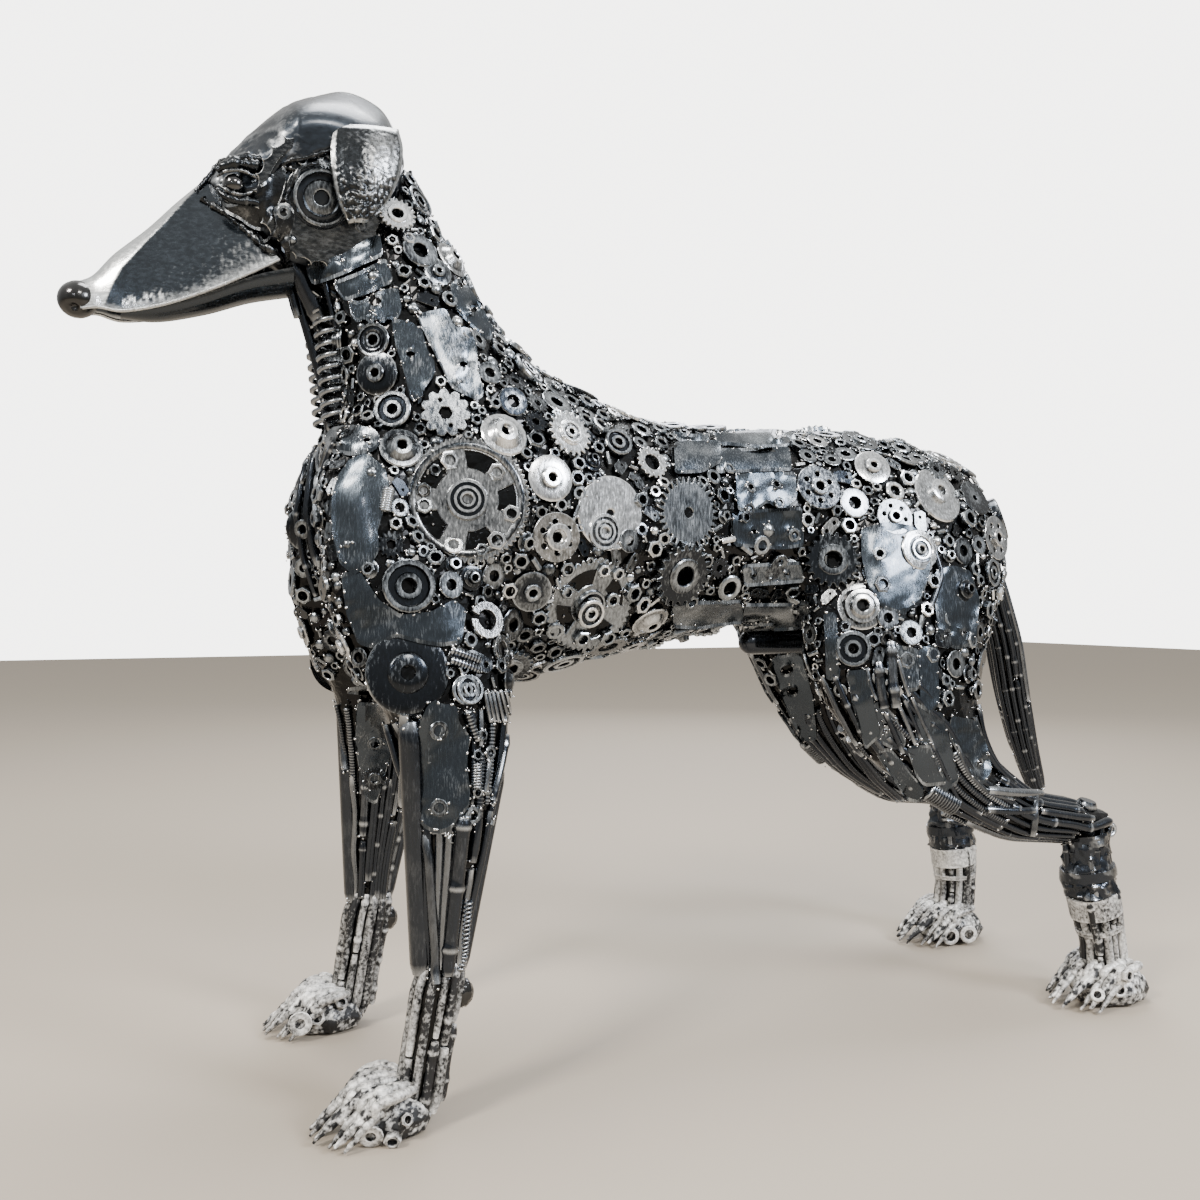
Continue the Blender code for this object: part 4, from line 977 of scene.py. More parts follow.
PAVED_FROM, PAVED_FROM_CHEST = 0.36, 0.385   # how far down the paving comes
CHEST_X = -0.18                    # the chest lies ahead of this
TAIL_X, TAIL_TOP = 0.435, 0.54     # the tail lies behind and below these


def paved(point):
    """Whether this part of the dog is paved with scrap, and not made of rods."""
    if point.x > TAIL_X and point.z < TAIL_TOP:
        return False
    return point.z > (PAVED_FROM_CHEST if point.x < CHEST_X else PAVED_FROM)


PAVING = (
    # radius in mm, tries, most uneven ground in mm, overlap, kinds
    (24, 1500, 4.0, 0.96, ("gear", "hubbed_disc", "plain_disc", "slotted_disc", "ridged_disc",
                           "sprocket", "bearing")),
    (19, 3000, 3.6, 0.95, ("bearing", "gear", "cup_washer", "hubbed_disc", "sprocket",
                           "shielded_bearing", "open_gear", "wing")),
    (15, 5000, 3.4, 0.94, ("washer", "bearing", "cone", "split_washer", "open_gear", "tab",
                           "cup_washer", "hubbed_disc", "link")),
    (12, 9000, 3.2, 0.92, ("washer", "ring", "flange_nut", "open_gear", "tab", "link", "wing",
                           "shielded_bearing", "cone")),
    (9, 14000, 3.0, 0.90, ("nut", "ring", "washer", "nut", "flange_nut", "tab", "link")),
    (6.5, 20000, 2.6, 0.88, ("small_nut", "small_ring", "small_nut", "stub", "dome")),
    (4.6, 26000, 2.4, 0.86, ("small_nut", "stub", "dome", "small_ring")),
)
TALL_KINDS = ("cone", "hubbed_disc", "flange_nut", "cup_washer", "dome", "stub", "bearing",
              "shielded_bearing", "ridged_disc")
FACES_UP = 0.6                     # along the back only flat pieces keep the line smooth
PAVING_SIZES = (0.88, 1.12)        # the smallest and largest share of a row's radius
PAVING_TONES = ("b", "m", "m", "m", "d", "d", "k")
PAVING_LIFT = 0.0022               # how far at most a piece stands off the skin
for size, tries, uneven, overlap, kinds in PAVING:
    for _ in range(tries):
        point, outward = any_spot()
        radius = size / 1000 * draw.uniform(*PAVING_SIZES)
        if not paved(point) or not free(point, outward, radius, overlap):
            continue
        centre, slope, bumps = rested(point, outward, radius, 6)
        if bumps * 1000 > uneven or not free(centre, slope, radius, overlap):
            continue
        tone = draw.choice(PAVING_TONES)
        leaning = tilted(slope, PAVING_LEANING)
        kind = draw.choice(kinds)
        if slope.z > FACES_UP and kind in TALL_KINDS:
            kind = "washer"
        placed.append((centre, leaning, radius, KIND[kind], TONES[tone],
                       draw.uniform(0, 2 * math.pi), draw.uniform(0, PAVING_LIFT)))
        note(centre, slope, radius)

scrap_tree, scrap_in, scrap_out = new_tree("lay_stock", Shapes="collection", Size=1.0,
                                           Finish="material")
scrap_shapes = node(scrap_tree, "GeometryNodeCollectionInfo", [(0, scrap_in.outputs["Shapes"])],
                    transform_space="ORIGINAL", in_Separate_Children=True, in_Reset_Children=True)


def named(tree, name, kind="FLOAT"):
    return node(tree, "GeometryNodeInputNamedAttribute", data_type=kind, in_Name=name)


scrap_turn = node(scrap_tree, "FunctionNodeEulerToRotation",
                  [(0, named(scrap_tree, "turn", "FLOAT_VECTOR"))])
scrap_size = maths(scrap_tree, "MULTIPLY", named(scrap_tree, "size"), scrap_in.outputs["Size"])
scrap_laid = node(scrap_tree, "GeometryNodeInstanceOnPoints",
                  [("Points", scrap_in.outputs[0]), ("Instance", scrap_shapes),
                   ("Instance Index", named(scrap_tree, "pick", "INT")),
                   ("Rotation", scrap_turn), ("Scale", scrap_size)], in_Pick_Instance=True)
close_tree(scrap_tree, scrap_in, scrap_out, scrap_laid)

# Clean zinc-plated and ground steel, rubbed bright over a dark patina, and the same steel
# left dark: both under clear lacquer. The brushing is drawn about 3 mm coarse to show.
ground_steel = metal("ground_bright_steel", "23282d", "e9ecee", 0.20, 0.0020, coat=0.3,
                     pits=0.00022, brushed=(1.0, 1.0, 0.35), contrast=0.60, lift=0.14)
gunmetal = metal("lacquered_gunmetal", "1a1f25", "bcc3c9", 0.22, 0.0024, coat=0.4, pits=0.00025,
                 brushed=(1.0, 1.0, 0.35), contrast=0.6, lift=0.10)


def mark(mesh, name, kind, values):
    """Gives a mesh's points an attribute."""
    made = mesh.attributes.new(name, kind, "POINT")
    made.data.foreach_set("vector" if kind == "FLOAT_VECTOR" else "value", values)


def lay_stock(name, items, finish, slot):
    """One mesh of stock shapes, each at its place in the list."""
    spots, slopes, sizes, kinds, tones, spins, lifts = zip(*items)
    mesh = bpy.data.meshes.new(name)
    mesh.from_pydata([tuple(spot - slope * (SINK - lift))
                      for spot, slope, lift in zip(spots, slopes, lifts)], [], [])
    facing = [slope.to_track_quat("Z", "Y").to_matrix() @ Matrix.Rotation(spin, 3, "Z")
              for slope, spin in zip(slopes, spins)]
    for label, kind, values in (("size", "FLOAT", sizes), ("pick", "INT", kinds),
                                ("tone", "FLOAT", tones), ("turn", "FLOAT_VECTOR", [
                                    part for turn in facing for part in turn.to_euler()])):
        mark(mesh, label, kind, values)
    add_piece(name, run_tree(object_of(name + "_points", mesh), scrap_tree, Shapes=stock,
                             Finish=finish), None, slot)


SPLIT_X = -0.12                    # the front pieces end here and the rear ones begin
QUARTERS = ("front_left", "rear_left", "front_right", "rear_right")


def quarter_of(point):
    return ("front_" if point.x < SPLIT_X else "rear_") + ("left" if point.y < 0 else "right")


SHINY_FROM = 0.3                   # the tone above which a piece is bright steel
for quarter in QUARTERS:
    here = [item for item in placed if item[3] >= 0 and quarter_of(item[0]) == quarter]
    lay_stock("bright_scrap_" + quarter, [item for item in here if item[4] > SHINY_FROM],
              ground_steel, "bright_steel")
    lay_stock("dark_scrap_" + quarter, [item for item in here if item[4] <= SHINY_FROM],
              gunmetal, "gunmetal")


# The seven large discs of each flank: bicycle chainrings, a machine gear, brake and
# clutch discs and a stepped pulley, cut or turned steel up to 8 mm thick, bedded in the
# skin. Each takes its centre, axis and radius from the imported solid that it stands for.
WINDOW_FOOT = 0.82                 # how wide an opening is at its inner edge, as a share


def windows(count, inner, outer, share, phase=0.0, steps=5):
    """Rounded openings between spokes, as outlines."""
    made = []
    for k in range(count):
        middle = 2 * math.pi * (k + phase) / count
        half = math.pi / count * share
        inside = half * WINDOW_FOOT
        made.append([polar(outer, middle - half + 2 * half * j / steps) for j in range(steps + 1)]
                    + [polar(inner, middle + inside - 2 * inside * j / steps)
                       for j in range(steps + 1)])
    return made


def turned_hub(*rows, sides=32):
    return turned_shape(rows, sides)


def moved(mesh, x, y):
    mesh.transform(Matrix.Translation((x, y, 0)))
    return mesh


TARGET_HUB = ((.07, 0, 0), (.07, .20, .1), (.09, .22, 1), (.12, .22, .8), (.13, .15, 0),
              (.16, .15, 0), (.17, .20, 1), (.21, .20, .8), (.22, .13, 0), (.26, .13, 0),
              (.27, .18, .9), (.31, .18, .7), (.33, .14, .9), (.34, 0, 0))
CONE_HUB = ((.16, 0, 0), (.16, .34, .1), (.20, .38, 1), (.30, .36, .7), (.38, .26, .5),
            (.48, .24, .9), (.50, .12, .1), (.50, 0, 0))
BIG_DISCS = {
    "shoulder_chainring": (ground_steel, "bright_steel", 0.14, lambda: stacked(
        cut_shape([toothed(68, .945, CHAIN_TOOTH), *windows(5, .50, .78, .56)], .115, .012, .55),
        turned_hub(*TARGET_HUB),
        turned_hub((.80, 0, 0), (.80, .14, .3), (.82, .15, .6), (.88, .15, .1), (.90, .14, .4),
                   (.90, 0, 0), sides=48))),
    "flank_chainring": (gunmetal, "bright_steel", 0.22, lambda: stacked(
        cut_shape([toothed(44, .93, CHAIN_TOOTH), *windows(4, .44, .76, .6, 0.3)], .12, .014, .5),
        turned_hub(*TARGET_HUB))),
    "flank_gear": (sheet_steel, "bright_steel", 0.26, lambda: cut_shape(
        [toothed(30, .83), ring_of(.15, 14)], .20, .016, .42)),
    "flank_disc": (ground_steel, "bright_steel", 0.50, lambda: stacked(
        turned_hub((.1, 0, 0), (.1, .10, .2), (.14, .125, .9), (.5, .125, .5), (.96, .125, .55),
                   (1, .10, 1), (1, 0, .1), sides=48),
        moved(turned_hub(*[(r * 1.5, z, b) for r, z, b in TARGET_HUB]), -.20, -.50))),
    "elbow_disc": (gunmetal, "bright_steel", -0.06, lambda: turned_hub(
        (.17, 0, 0), (.17, .20, .1), (.19, .22, .6), (.42, .22, .40), (.47, .19, .50),
        (.50, .15, .16), (.88, .15, .40), (.97, .13, .50), (1, .09, .9), (1, 0, .1),
        sides=48)),
    "rump_disc": (ground_steel, "bright_steel", 0.36, lambda: stacked(
        turned_hub((.14, 0, 0), (.14, .12, .2), (.17, .14, .9), (.55, .15, .5), (.95, .14, .5),
                   (1, .10, 1), (1, 0, .1), sides=44),
        moved(turned_hub((.16, 0, 0), (.16, .26, .1), (.20, .29, 1), (.36, .29, .7),
                         (.42, .26, 1), (.42, 0, 0)), .1, .12))),
    "hip_disc": (ground_steel, "bright_steel", 0.22, lambda: stacked(
        turned_hub((.3, 0, 0), (.3, .12, .1), (.9, .14, .5), (1, .10, 1), (1, 0, .1), sides=40),
        turned_hub(*[(r * 1.5, z * 1.3, b) for r, z, b in CONE_HUB]))),
}


DISC_RAISED = 0.0012               # the skin under a disc is uneven by about this much


def fit_discs(shapes, raised=DISC_RAISED):
    """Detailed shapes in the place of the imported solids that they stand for."""
    for base, (finish, slot, shade, shape) in shapes.items():
        pattern = shape()
        mark(pattern, "tone", "FLOAT", [shade] * len(pattern.vertices))
        for side in SIDES:
            back, axis, reach = DISC_FRAMES[f"{base}_{side}"]
            level = Vector((0, 0, 1)).cross(axis).normalized()
            turn = Matrix((level, axis.cross(level), axis)).transposed().to_4x4()
            mesh = pattern.copy()
            if side == "right":
                mesh.transform(Matrix.Scale(-1, 4, (1, 0, 0)))
                mesh.flip_normals()
            mesh.transform(Matrix.Translation(back + axis * raised) @ turn
                           @ Matrix.Scale(reach, 4))
            add_piece(f"{base}_detail_{side}", mesh, finish, slot, f"{base}_{side}")


fit_discs(BIG_DISCS)

# Rods, tubes, springs and threaded studs: round steel stock laid side by side down the
# limbs, the throat and the tail, and welded at their ends. One tree skins every line with
# its own thickness; a line's bright points are collars, thread crests and cut ends.
rod_tree, rod_in, rod_out = new_tree("skin_lines", Sides=8, Finish="material")
rod_curve = node(rod_tree, "GeometryNodeMeshToCurve", [(0, rod_in.outputs[0])])
rod_radius = node(rod_tree, "GeometryNodeSetCurveRadius",
                  [("Curve", rod_curve), ("Radius", named(rod_tree, "thickness"))])
rod_profile = node(rod_tree, "GeometryNodeCurvePrimitiveCircle",
                   [("Resolution", rod_in.outputs["Sides"])], in_Radius=1.0)
rod_skin = node(rod_tree, "GeometryNodeCurveToMesh",
                [("Curve", rod_radius), ("Profile Curve", rod_profile),
                 ("Scale", named(rod_tree, "thickness"))], in_Fill_Caps=True)
close_tree(rod_tree, rod_in, rod_out, node(rod_tree, "GeometryNodeSetShadeSmooth", [(0, rod_skin)]))


def along(path, step):
    """A path resampled evenly."""
    lengths = [0.0]
    for here, there in zip(path, path[1:]):
        lengths.append(lengths[-1] + (there - here).length)
    count = max(int(round(lengths[-1] / step)), 1)
    points = []
    for k in range(count + 1):
        reach = lengths[-1] * k / count
        j = max(next((i for i, v in enumerate(lengths) if v >= reach), len(path) - 1), 1)
        span = lengths[j] - lengths[j - 1]
        points.append(path[j - 1].lerp(path[j], (reach - lengths[j - 1]) / span if span else 0))
    return points


ROD_TACKS = 4000
ROD_STEPS = {"plain": 0.010, "collared": 0.0045, "threaded": 0.0016}
ROD_SHINE, CREST_SHINE, CUT_SHINE = 0.42, 0.95, 0.9
COLLAR_SHARE, BESIDE_COLLAR, THREAD_ROOT, CUT_SHARE = 1.24, 1.02, 0.78, 0.80


def rod_line(path, radius, kind="plain", tone=0.1):
    """A line of (point, thickness, brightness, tone) for one rod."""
    points = along(path, ROD_STEPS[kind])
    last = len(points) - 1
    every = draw.choice((7, 9, 12)) if kind == "collared" else 1
    line = []
    for end in (points[0], points[-1]):
        if len(tacks) < ROD_TACKS:
            tacks.append((end, None, radius))
    for k, point in enumerate(points):
        share, bright = 1.0, ROD_SHINE
        if kind == "collared" and k % every == 2:
            share, bright = COLLAR_SHARE, CREST_SHINE
        elif kind == "collared" and k % every in (1, 3):
            share, bright = BESIDE_COLLAR, 0.15
        elif kind == "threaded":
            share, bright = (1.0, 0.9) if k % 2 else (THREAD_ROOT, 0.0)
        if k in (0, last):
            share, bright = share * CUT_SHARE, CUT_SHINE
        line.append((point, radius * share, bright, tone))
    return line


SPRING_STEP, SPRING_SHINE = 0.004, 0.75


def spring_line(path, coil, wire, turns, tone=0.2, steps=10):
    """A helix of wire round a path."""
    points = along(path, SPRING_STEP)
    line = []
    count = int(turns * steps)
    for k in range(count + 1):
        share = k / count * (len(points) - 1)
        j = min(int(share), len(points) - 2)
        axis = (points[j + 1] - points[j]).normalized()
        side = axis.orthogonal().normalized() if k == 0 else side - axis * side.dot(axis)
        side.normalize()
        turn = 2 * math.pi * k / steps
        out = side * math.cos(turn) + axis.cross(side) * math.sin(turn)
        centre = points[j].lerp(points[j + 1], share - j)
        line.append((centre + out * coil, wire, SPRING_SHINE, tone))
    return line


def lines_object(name, lines, finish, slot, sides=8, nodes=()):
    """One mesh of rods from their lines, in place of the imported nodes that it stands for."""
    mesh = bpy.data.meshes.new(name)
    flat = [row for line in lines for row in line]
    edges = []
    start = 0
    for line in lines:
        edges += [(start + k, start + k + 1) for k in range(len(line) - 1)]
        start += len(line)
    mesh.from_pydata([tuple(row[0]) for row in flat], edges, [])
    for column, label in ((1, "thickness"), (2, "bright"), (3, "tone")):
        mark(mesh, label, "FLOAT", [row[column] for row in flat])
    add_piece(name, run_tree(object_of(name + "_lines", mesh), rod_tree, Sides=sides,
                             Finish=finish), None, slot, *nodes)


def softened(path):
    """A path with each point drawn a little towards its neighbours."""
    last = len(path) - 1
    return [(path[max(k - 1, 0)] + path[k] * 2 + path[min(k + 1, last)]) / 4
            for k in range(last + 1)]


LIMB_REACH = 0.12                  # farther off than this is another limb


def limb_axis(rough, step=0.012, rounds=2):
    """A limb's middle line: rough points, moved to the middle of the skin round them."""
    points = along([Vector(p) for p in rough], step)
    for _ in range(rounds):
        centred = []
        for k, point in enumerate(points):
            ahead = points[min(k + 1, len(points) - 1)] - points[max(k - 1, 0)]
            hits = [form_tree.ray_cast(point, out, LIMB_REACH)[0]
                    for out in spokes(ahead.normalized(), 8)]
            found = [hit for hit in hits if hit is not None]
            centred.append(sum(found, Vector()) / len(found) if len(found) > 5 else point)
        points = softened(centred)
    return points


BRIDGED = 0.0045                   # how far off the skin a rod may pass over a dip


def on_skin(here, there, most=BRIDGED):
    """Whether the skin carries a rod all the way between two of its points."""
    return form_tree.find_nearest((here + there) / 2)[3] < most


STRAND_REACH = 0.075               # farther from the axis is another limb, or the trunk
STRAND_JUMP = 2.4                  # steps of the axis within which a strand stays in one run
SHORTEST = 4                       # points that a strand has at least


def strand(axis, degrees, start, stop, lift, turn=0.0):
    """The line on the skin beside a limb's axis, at an angle round it: 0 is ahead (-X), 90 out."""
    path = []
    out_side = -1 if axis[0].y < 0 else 1
    last = len(axis) - 1
    for k in range(int(round(start * last)), int(round(stop * last)) + 1):
        ahead = (axis[min(k + 1, last)] - axis[max(k - 1, 0)]).normalized()
        side = Vector((0, out_side, 0))
        side = (side - ahead * side.dot(ahead)).normalized()
        front = side.cross(ahead) * (1 if out_side < 0 else -1)
        if front.x > 0:
            front = -front
        t = math.radians(degrees + turn * k / last)
        out = front * math.cos(t) + side * math.sin(t)
        hit, _, _, _ = form_tree.ray_cast(axis[k], out, STRAND_REACH)
        jump = STRAND_JUMP * (axis[1] - axis[0]).length
        if hit is None or path and ((hit - path[-1]).length > jump or not on_skin(hit, path[-1])):
            if len(path) >= SHORTEST:
                break
            path = []
        if hit is not None:
            path.append(hit + out * lift)
    if len(path) < SHORTEST:
        return None
    return softened(path)


UNEVEN_LIFT = (-0.0012, 0.0014)    # how unevenly by hand the rods lie beside each other


def wrap_limb(axis, start, stop, count, widths, kinds, tones, lift=0.0, turn=0.0):
    """Strands all round a limb, each of one or two lengths of stock end to end."""
    lines = []
    phase = draw.uniform(0, 360 / count)
    for k in range(count):
        joints = [draw.uniform(start, stop) for _ in range(draw.choice((0, 1)))]
        cuts = sorted([start, stop] + joints)
        for low, high in zip(cuts, cuts[1:]):
            path = strand(axis, phase + 360 * k / count, low, high,
                          lift + draw.uniform(*UNEVEN_LIFT), turn)
            if path:
                lines.append(rod_line(path, draw.uniform(*widths) / 1000, draw.choice(kinds),
                                      draw.choice(tones)))
    return lines


# Hot-rolled bar and tube on the lower legs, dark blue-grey with mill scale under the
# lacquer, lighter along the top of each bar.
leg_steel = metal("mill_scale_rod", "2b3037", "d3d9df", 0.22, 0.0016, coat=0.4, pits=0.00005,
                  brushed=(1.0, 1.0, 0.2), contrast=0.12, lift=0.06, polish=0.08)

# The feet and the lower half of each metatarsus are dry-brushed with white over black, so
# that the high spots are chalky and the hollows stay dark.
white_brushed = metal("white_dry_brushed_steel", "17181a", "ecebe7", 0.50, 0.0034, coat=0.12,
                      pits=0.0009, metallic=0.35, contrast=1.0, lift=0.08)

FORELEG_AXIS = [(-0.262, -0.104, 0.392), (-0.2555, -0.122, 0.305), (-0.2600, -0.134, 0.235),
                (-0.270, -0.137, 0.130)]
SHANK_AXIS = [(0.235, -0.098, 0.400), (0.270, -0.105, 0.330), (0.324, -0.118, 0.258),
              (0.399, -0.128, 0.219), (0.464, -0.132, 0.210), (0.519, -0.134, 0.207)]
SHANK_SETBACK = (0.034, 0.040, 0.042, 0.034, 0.034, 0.034)
HOCK_AXIS = [(0.491, -0.137, 0.212), (0.493, -0.137, 0.171), (0.498, -0.137, 0.140),
             (0.506, -0.137, 0.111), (0.512, -0.137, 0.090), (0.518, -0.137, 0.068)]
HOCK_SETBACK = (0.034, 0.034, 0.032, 0.028, 0.024, 0.018)
TAIL_AXIS = [(0.446, 0, 0.535), (0.472, 0, 0.480), (0.496, 0, 0.409), (0.512, 0, 0.336),
             (0.528, 0, 0.278), (0.552, 0, 0.214)]


def side_axis(points, side, setback=None, step=0.012):
    """A limb's middle line on one side; the right hind leg stands a little further back."""
    if side == "right":
        setback = setback or [0.0] * len(points)
        points = [(x + back, -y, z) for (x, y, z), back in zip(points, setback)]
    return limb_axis(points, step)


leg_tones = (-0.22, -0.12, 0.0, 0.1, 0.22)
rear_tones = (-0.30, -0.22, -0.14, -0.02, 0.16)
SHIN_STOCK = (("shin_tube", "plain"), ("shin_rod", "collared"), ("shin_rear_rod", "plain"))
SHIN_SHARE = 0.98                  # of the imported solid's radius, to show inside its outline
for side in SIDES:
    fore = side_axis(FORELEG_AXIS, side)
    shank = side_axis(SHANK_AXIS, side, SHANK_SETBACK)
    hock = side_axis(HOCK_AXIS, side, HOCK_SETBACK)
    lines = wrap_limb(fore, 0.15, 0.55, 24, (2.8, 4.8), ("plain", "plain", "collared", "threaded"),
                      leg_tones)
    lines += wrap_limb(fore, 0.45, 1.0, 17, (3.0, 5.4), ("plain", "collared", "plain", "plain"),
                       leg_tones, 0.0004)
    for node_name, kind in SHIN_STOCK:
        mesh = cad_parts[f"{node_name}_{side}"].data
        order = sorted((v.co for v in mesh.vertices), key=lambda co: co.z)
        half = len(order) // 2
        low = sum(order[:half], Vector()) / half
        high = sum(order[half:], Vector()) / (len(order) - half)
        reach = max(((co - high).cross((low - high).normalized())).length for co in order)
        lines.append(rod_line([high, low], reach * SHIN_SHARE, kind, 0.02))
    lines_object("foreleg_rods_" + side, lines, leg_steel, "gunmetal", 10,
                 [f"{base}_{side}" for base, _ in SHIN_STOCK])
    lines = wrap_limb(shank, 0.0, 0.6, 26, (2.8, 5.2),
                      ("plain", "collared", "plain", "plain", "threaded"), rear_tones)
    lines += wrap_limb(shank, 0.5, 1.0, 18, (3.0, 5.6), ("plain", "collared", "plain"),
                       rear_tones, 0.0004)
    lines += wrap_limb(hock, 0.0, 0.55, 16, (3.0, 5.0), ("plain", "plain", "collared"),
                       rear_tones)
    lines_object("hind_leg_rods_" + side, lines, leg_steel, "gunmetal", 8)

tail_axis = limb_axis(TAIL_AXIS)
tail_lines = wrap_limb(tail_axis, 0.0, 1.0, 15, (2.6, 4.4), ("plain", "plain", "collared"),
                       rear_tones, 0.0, 14)
lines_object("tail_rods", tail_lines, leg_steel, "gunmetal", 8)

# Rods and tubes that can be told apart in the photograph: the keel of bent rods down the
# chest, the tubes of thigh and forearm, and the long bars that run back to the hock. Each
# is a run of pixels on the skin, and lies on the right side as well.
SKIN_RODS = (
    # radius in mm, kind, tone, height of the middle above the skin in mm, pixels
    (5.0, "plain", 0.0, 3.0, ((322, 438), (314, 470), (308, 512), (316, 555), (331, 596),
                              (342, 640), (350, 679))),
    (4.0, "plain", 0.1, 2.5, ((331, 445), (322, 478), (317, 512), (324, 550), (338, 590),
                              (348, 630))),
    (3.6, "collared", 0.0, 2.5, ((315, 446), (304, 480), (298, 515), (304, 555), (317, 595))),
    (3.4, "plain", 0.1, 3.0, ((824, 676), (838, 708), (858, 743))),
    (3.2, "collared", 0.0, 3.0, ((833, 670), (848, 705), (868, 742))),
    (5.6, "collared", 0.10, 3.5, ((877, 662), (879, 685), (883, 707))),
    (6.2, "collared", 0.15, 3.5, ((889, 642), (890, 675), (894, 707))),
    (3.0, "plain", 0.2, 4.0, ((896, 660), (901, 680), (907, 696))),
    (4.6, "plain", 0.0, 3.5, ((851, 747), (880, 780), (914, 808), (958, 832), (1003, 843),
                              (1055, 832))),
    (4.0, "plain", 0.0, 3.0, ((842, 735), (870, 775), (905, 805), (945, 828))),
    (12.5, "threaded", 0.05, 0.0, ((927, 789), (940, 797), (954, 805))),
    (5.6, "plain", 0.25, 4.0, ((985, 790), (1035, 797), (1086, 803))),
    (4.6, "plain", 0.0, 4.0, ((985, 808), (1010, 810), (1032, 811))),
    (4.6, "plain", 0.0, 4.0, ((963, 823), (1000, 829), (1030, 834))),
    (4.6, "plain", 0.0, 4.0, ((1037, 812), (1065, 816), (1090, 819))),
    (4.2, "plain", 0.1, 4.5, ((1032, 796), (1032, 815), (1031, 832))),
    (4.6, "plain", 0.0, 3.0, ((514, 682), (512, 715), (508, 751), (498, 790), (487, 824))),
    (4.0, "collared", 0.1, 3.0, ((504, 730), (499, 760), (490, 800))),
    (5.6, "plain", 0.15, 3.0, ((405, 712), (406, 760), (407, 820), (409, 880))),
    (4.0, "threaded", 0.1, 4.0, ((466, 711), (470, 725), (475, 741))),
    (2.6, "plain", 0.2, 5.0, ((486, 762), (484, 778), (482, 792))),
    (4.5, "threaded", 0.1, 2.0, ((450, 650), (464, 655), (478, 661))),
    (4.5, "threaded", 0.1, 2.0, ((450, 660), (464, 665), (478, 671))),
    (3.6, "plain", 0.0, 3.0, ((930, 545), (940, 575), (928, 610))),
    (3.2, "plain", 0.1, 3.0, ((866, 668), (870, 690), (876, 700))),
    (2.8, "plain", 0.2, 2.5, ((897, 704), (905, 722), (914, 744))),
    (2.6, "plain", 0.0, 2.5, ((903, 700), (911, 718), (920, 740))),
    (2.8, "plain", 0.1, 3.0, ((910, 697), (918, 716), (930, 742))),
    (3.4, "plain", 0.0, 3.0, ((884, 712), (893, 730), (902, 752))),
    (3.4, "collared", 0.1, 2.5, ((852, 690), (868, 728), (892, 762), (915, 790))),
    (3.0, "plain", 0.0, 2.0, ((930, 742), (945, 775), (958, 800), (980, 812))),
    (3.4, "plain", 0.1, 2.5, ((955, 745), (965, 772), (985, 792), (1010, 800))),
    (4.6, "plain", 0.1, 2.5, ((428, 834), (431, 880), (434, 930), (436, 984))),
)
SKIN_RODS += tuple((2.0, "plain", 0.25, 4.0, ((482 + 4 * k, 692), (488 + 4 * k, 722)))
                   for k in range(7))
SKIN_SPRINGS = (
    # radius of the coil and of the wire in mm, turns, pixels
    (4.2, 1.0, 9, ((474, 762), (474, 787))),
    (3.6, 1.0, 17, ((466, 898), (462, 935), (457, 971))),
    (5.0, 1.2, 10, ((388, 490), (384, 512))),
)


SAME_RUN = 0.03                    # farther on is another limb that the pixels cross
NEAR_BRIDGED = 0.0035              # as BRIDGED, where the photograph shows the rod


def skin_path(pixels, lift, step=5):
    """The line over the skin below a run of pixels, and its twin on the other side."""
    near, far = [], []
    for (ax, ay), (bx, by) in zip(pixels, pixels[1:]):
        parts = max(int(math.hypot(bx - ax, by - ay) / step), 1)
        for j in range(parts + ((bx, by) == pixels[-1])):
            hit, outward = seen_at(ax + (bx - ax) * j / parts, ay + (by - ay) * j / parts)
            if hit is not None and (not near or (hit - near[-1]).length < SAME_RUN
                                    and on_skin(hit, near[-1], lift + NEAR_BRIDGED)):
                near.append(hit + outward * lift)
                hit, outward = mirror_spot(hit)
                if not far or on_skin(hit, far[-1], lift + BRIDGED):
                    far.append(hit + outward * lift)
    return [[path[0]] + [(a + b * 2 + c) / 4 for a, b, c in zip(path, path[1:], path[2:])]
            + [path[-1]] for path in (near, far)]


skin_lines = {side: [] for side in SIDES}
for reach, kind, tone, lift, pixels in SKIN_RODS:
    for side, path in zip(SIDES, skin_path(pixels, lift / 1000)):
        skin_lines[side].append(rod_line(path, reach / 1000, kind, tone))
for coil, wire, turns, pixels in SKIN_SPRINGS:
    for side, path in zip(SIDES, skin_path(pixels, coil / 1000, 3)):
        skin_lines[side].append(spring_line(path, coil / 1000, wire / 1000, turns))
for side, lines in skin_lines.items():
    lines_object("skin_rods_" + side, lines, leg_steel, "gunmetal", 12)

# Weld beads: drops and short runs of bright metal between the pieces, which the real dog
# has in every gap. A tree scatters them over the skin; most end up half hidden.
bead_tree, bead_in, bead_out = new_tree("scatter_beads", Density=2600.0, Smallest=0.0011,
                                        Largest=0.0030, Seed=3, Finish="material")
bead_spots = node(bead_tree, "GeometryNodeDistributePointsOnFaces",
                  [(0, bead_in.outputs[0]), ("Density", bead_in.outputs["Density"]),
                   ("Seed", bead_in.outputs["Seed"])])
bead_shape = node(bead_tree, "GeometryNodeMeshUVSphere", in_Radius=1.0, in_Segments=5,
                  in_Rings=2)
bead_smooth = node(bead_tree, "GeometryNodeSetShadeSmooth", [(0, bead_shape)])
bead_size = node(bead_tree, "FunctionNodeRandomValue",
                 [(2, bead_in.outputs["Smallest"]), (3, bead_in.outputs["Largest"])])
bead_laid = node(bead_tree, "GeometryNodeInstanceOnPoints",
                 [("Points", bead_spots), ("Instance", bead_smooth),
                  ("Rotation", bead_spots.outputs["Rotation"]), ("Scale", bead_size.outputs[1])])
close_tree(bead_tree, bead_in, bead_out, bead_laid)
bead_steel = metal("bright_weld_bead", "1c1d1f", "e6e7e7", 0.17, 0.0060, coat=0.3, contrast=1.3,
                   lift=0.50)
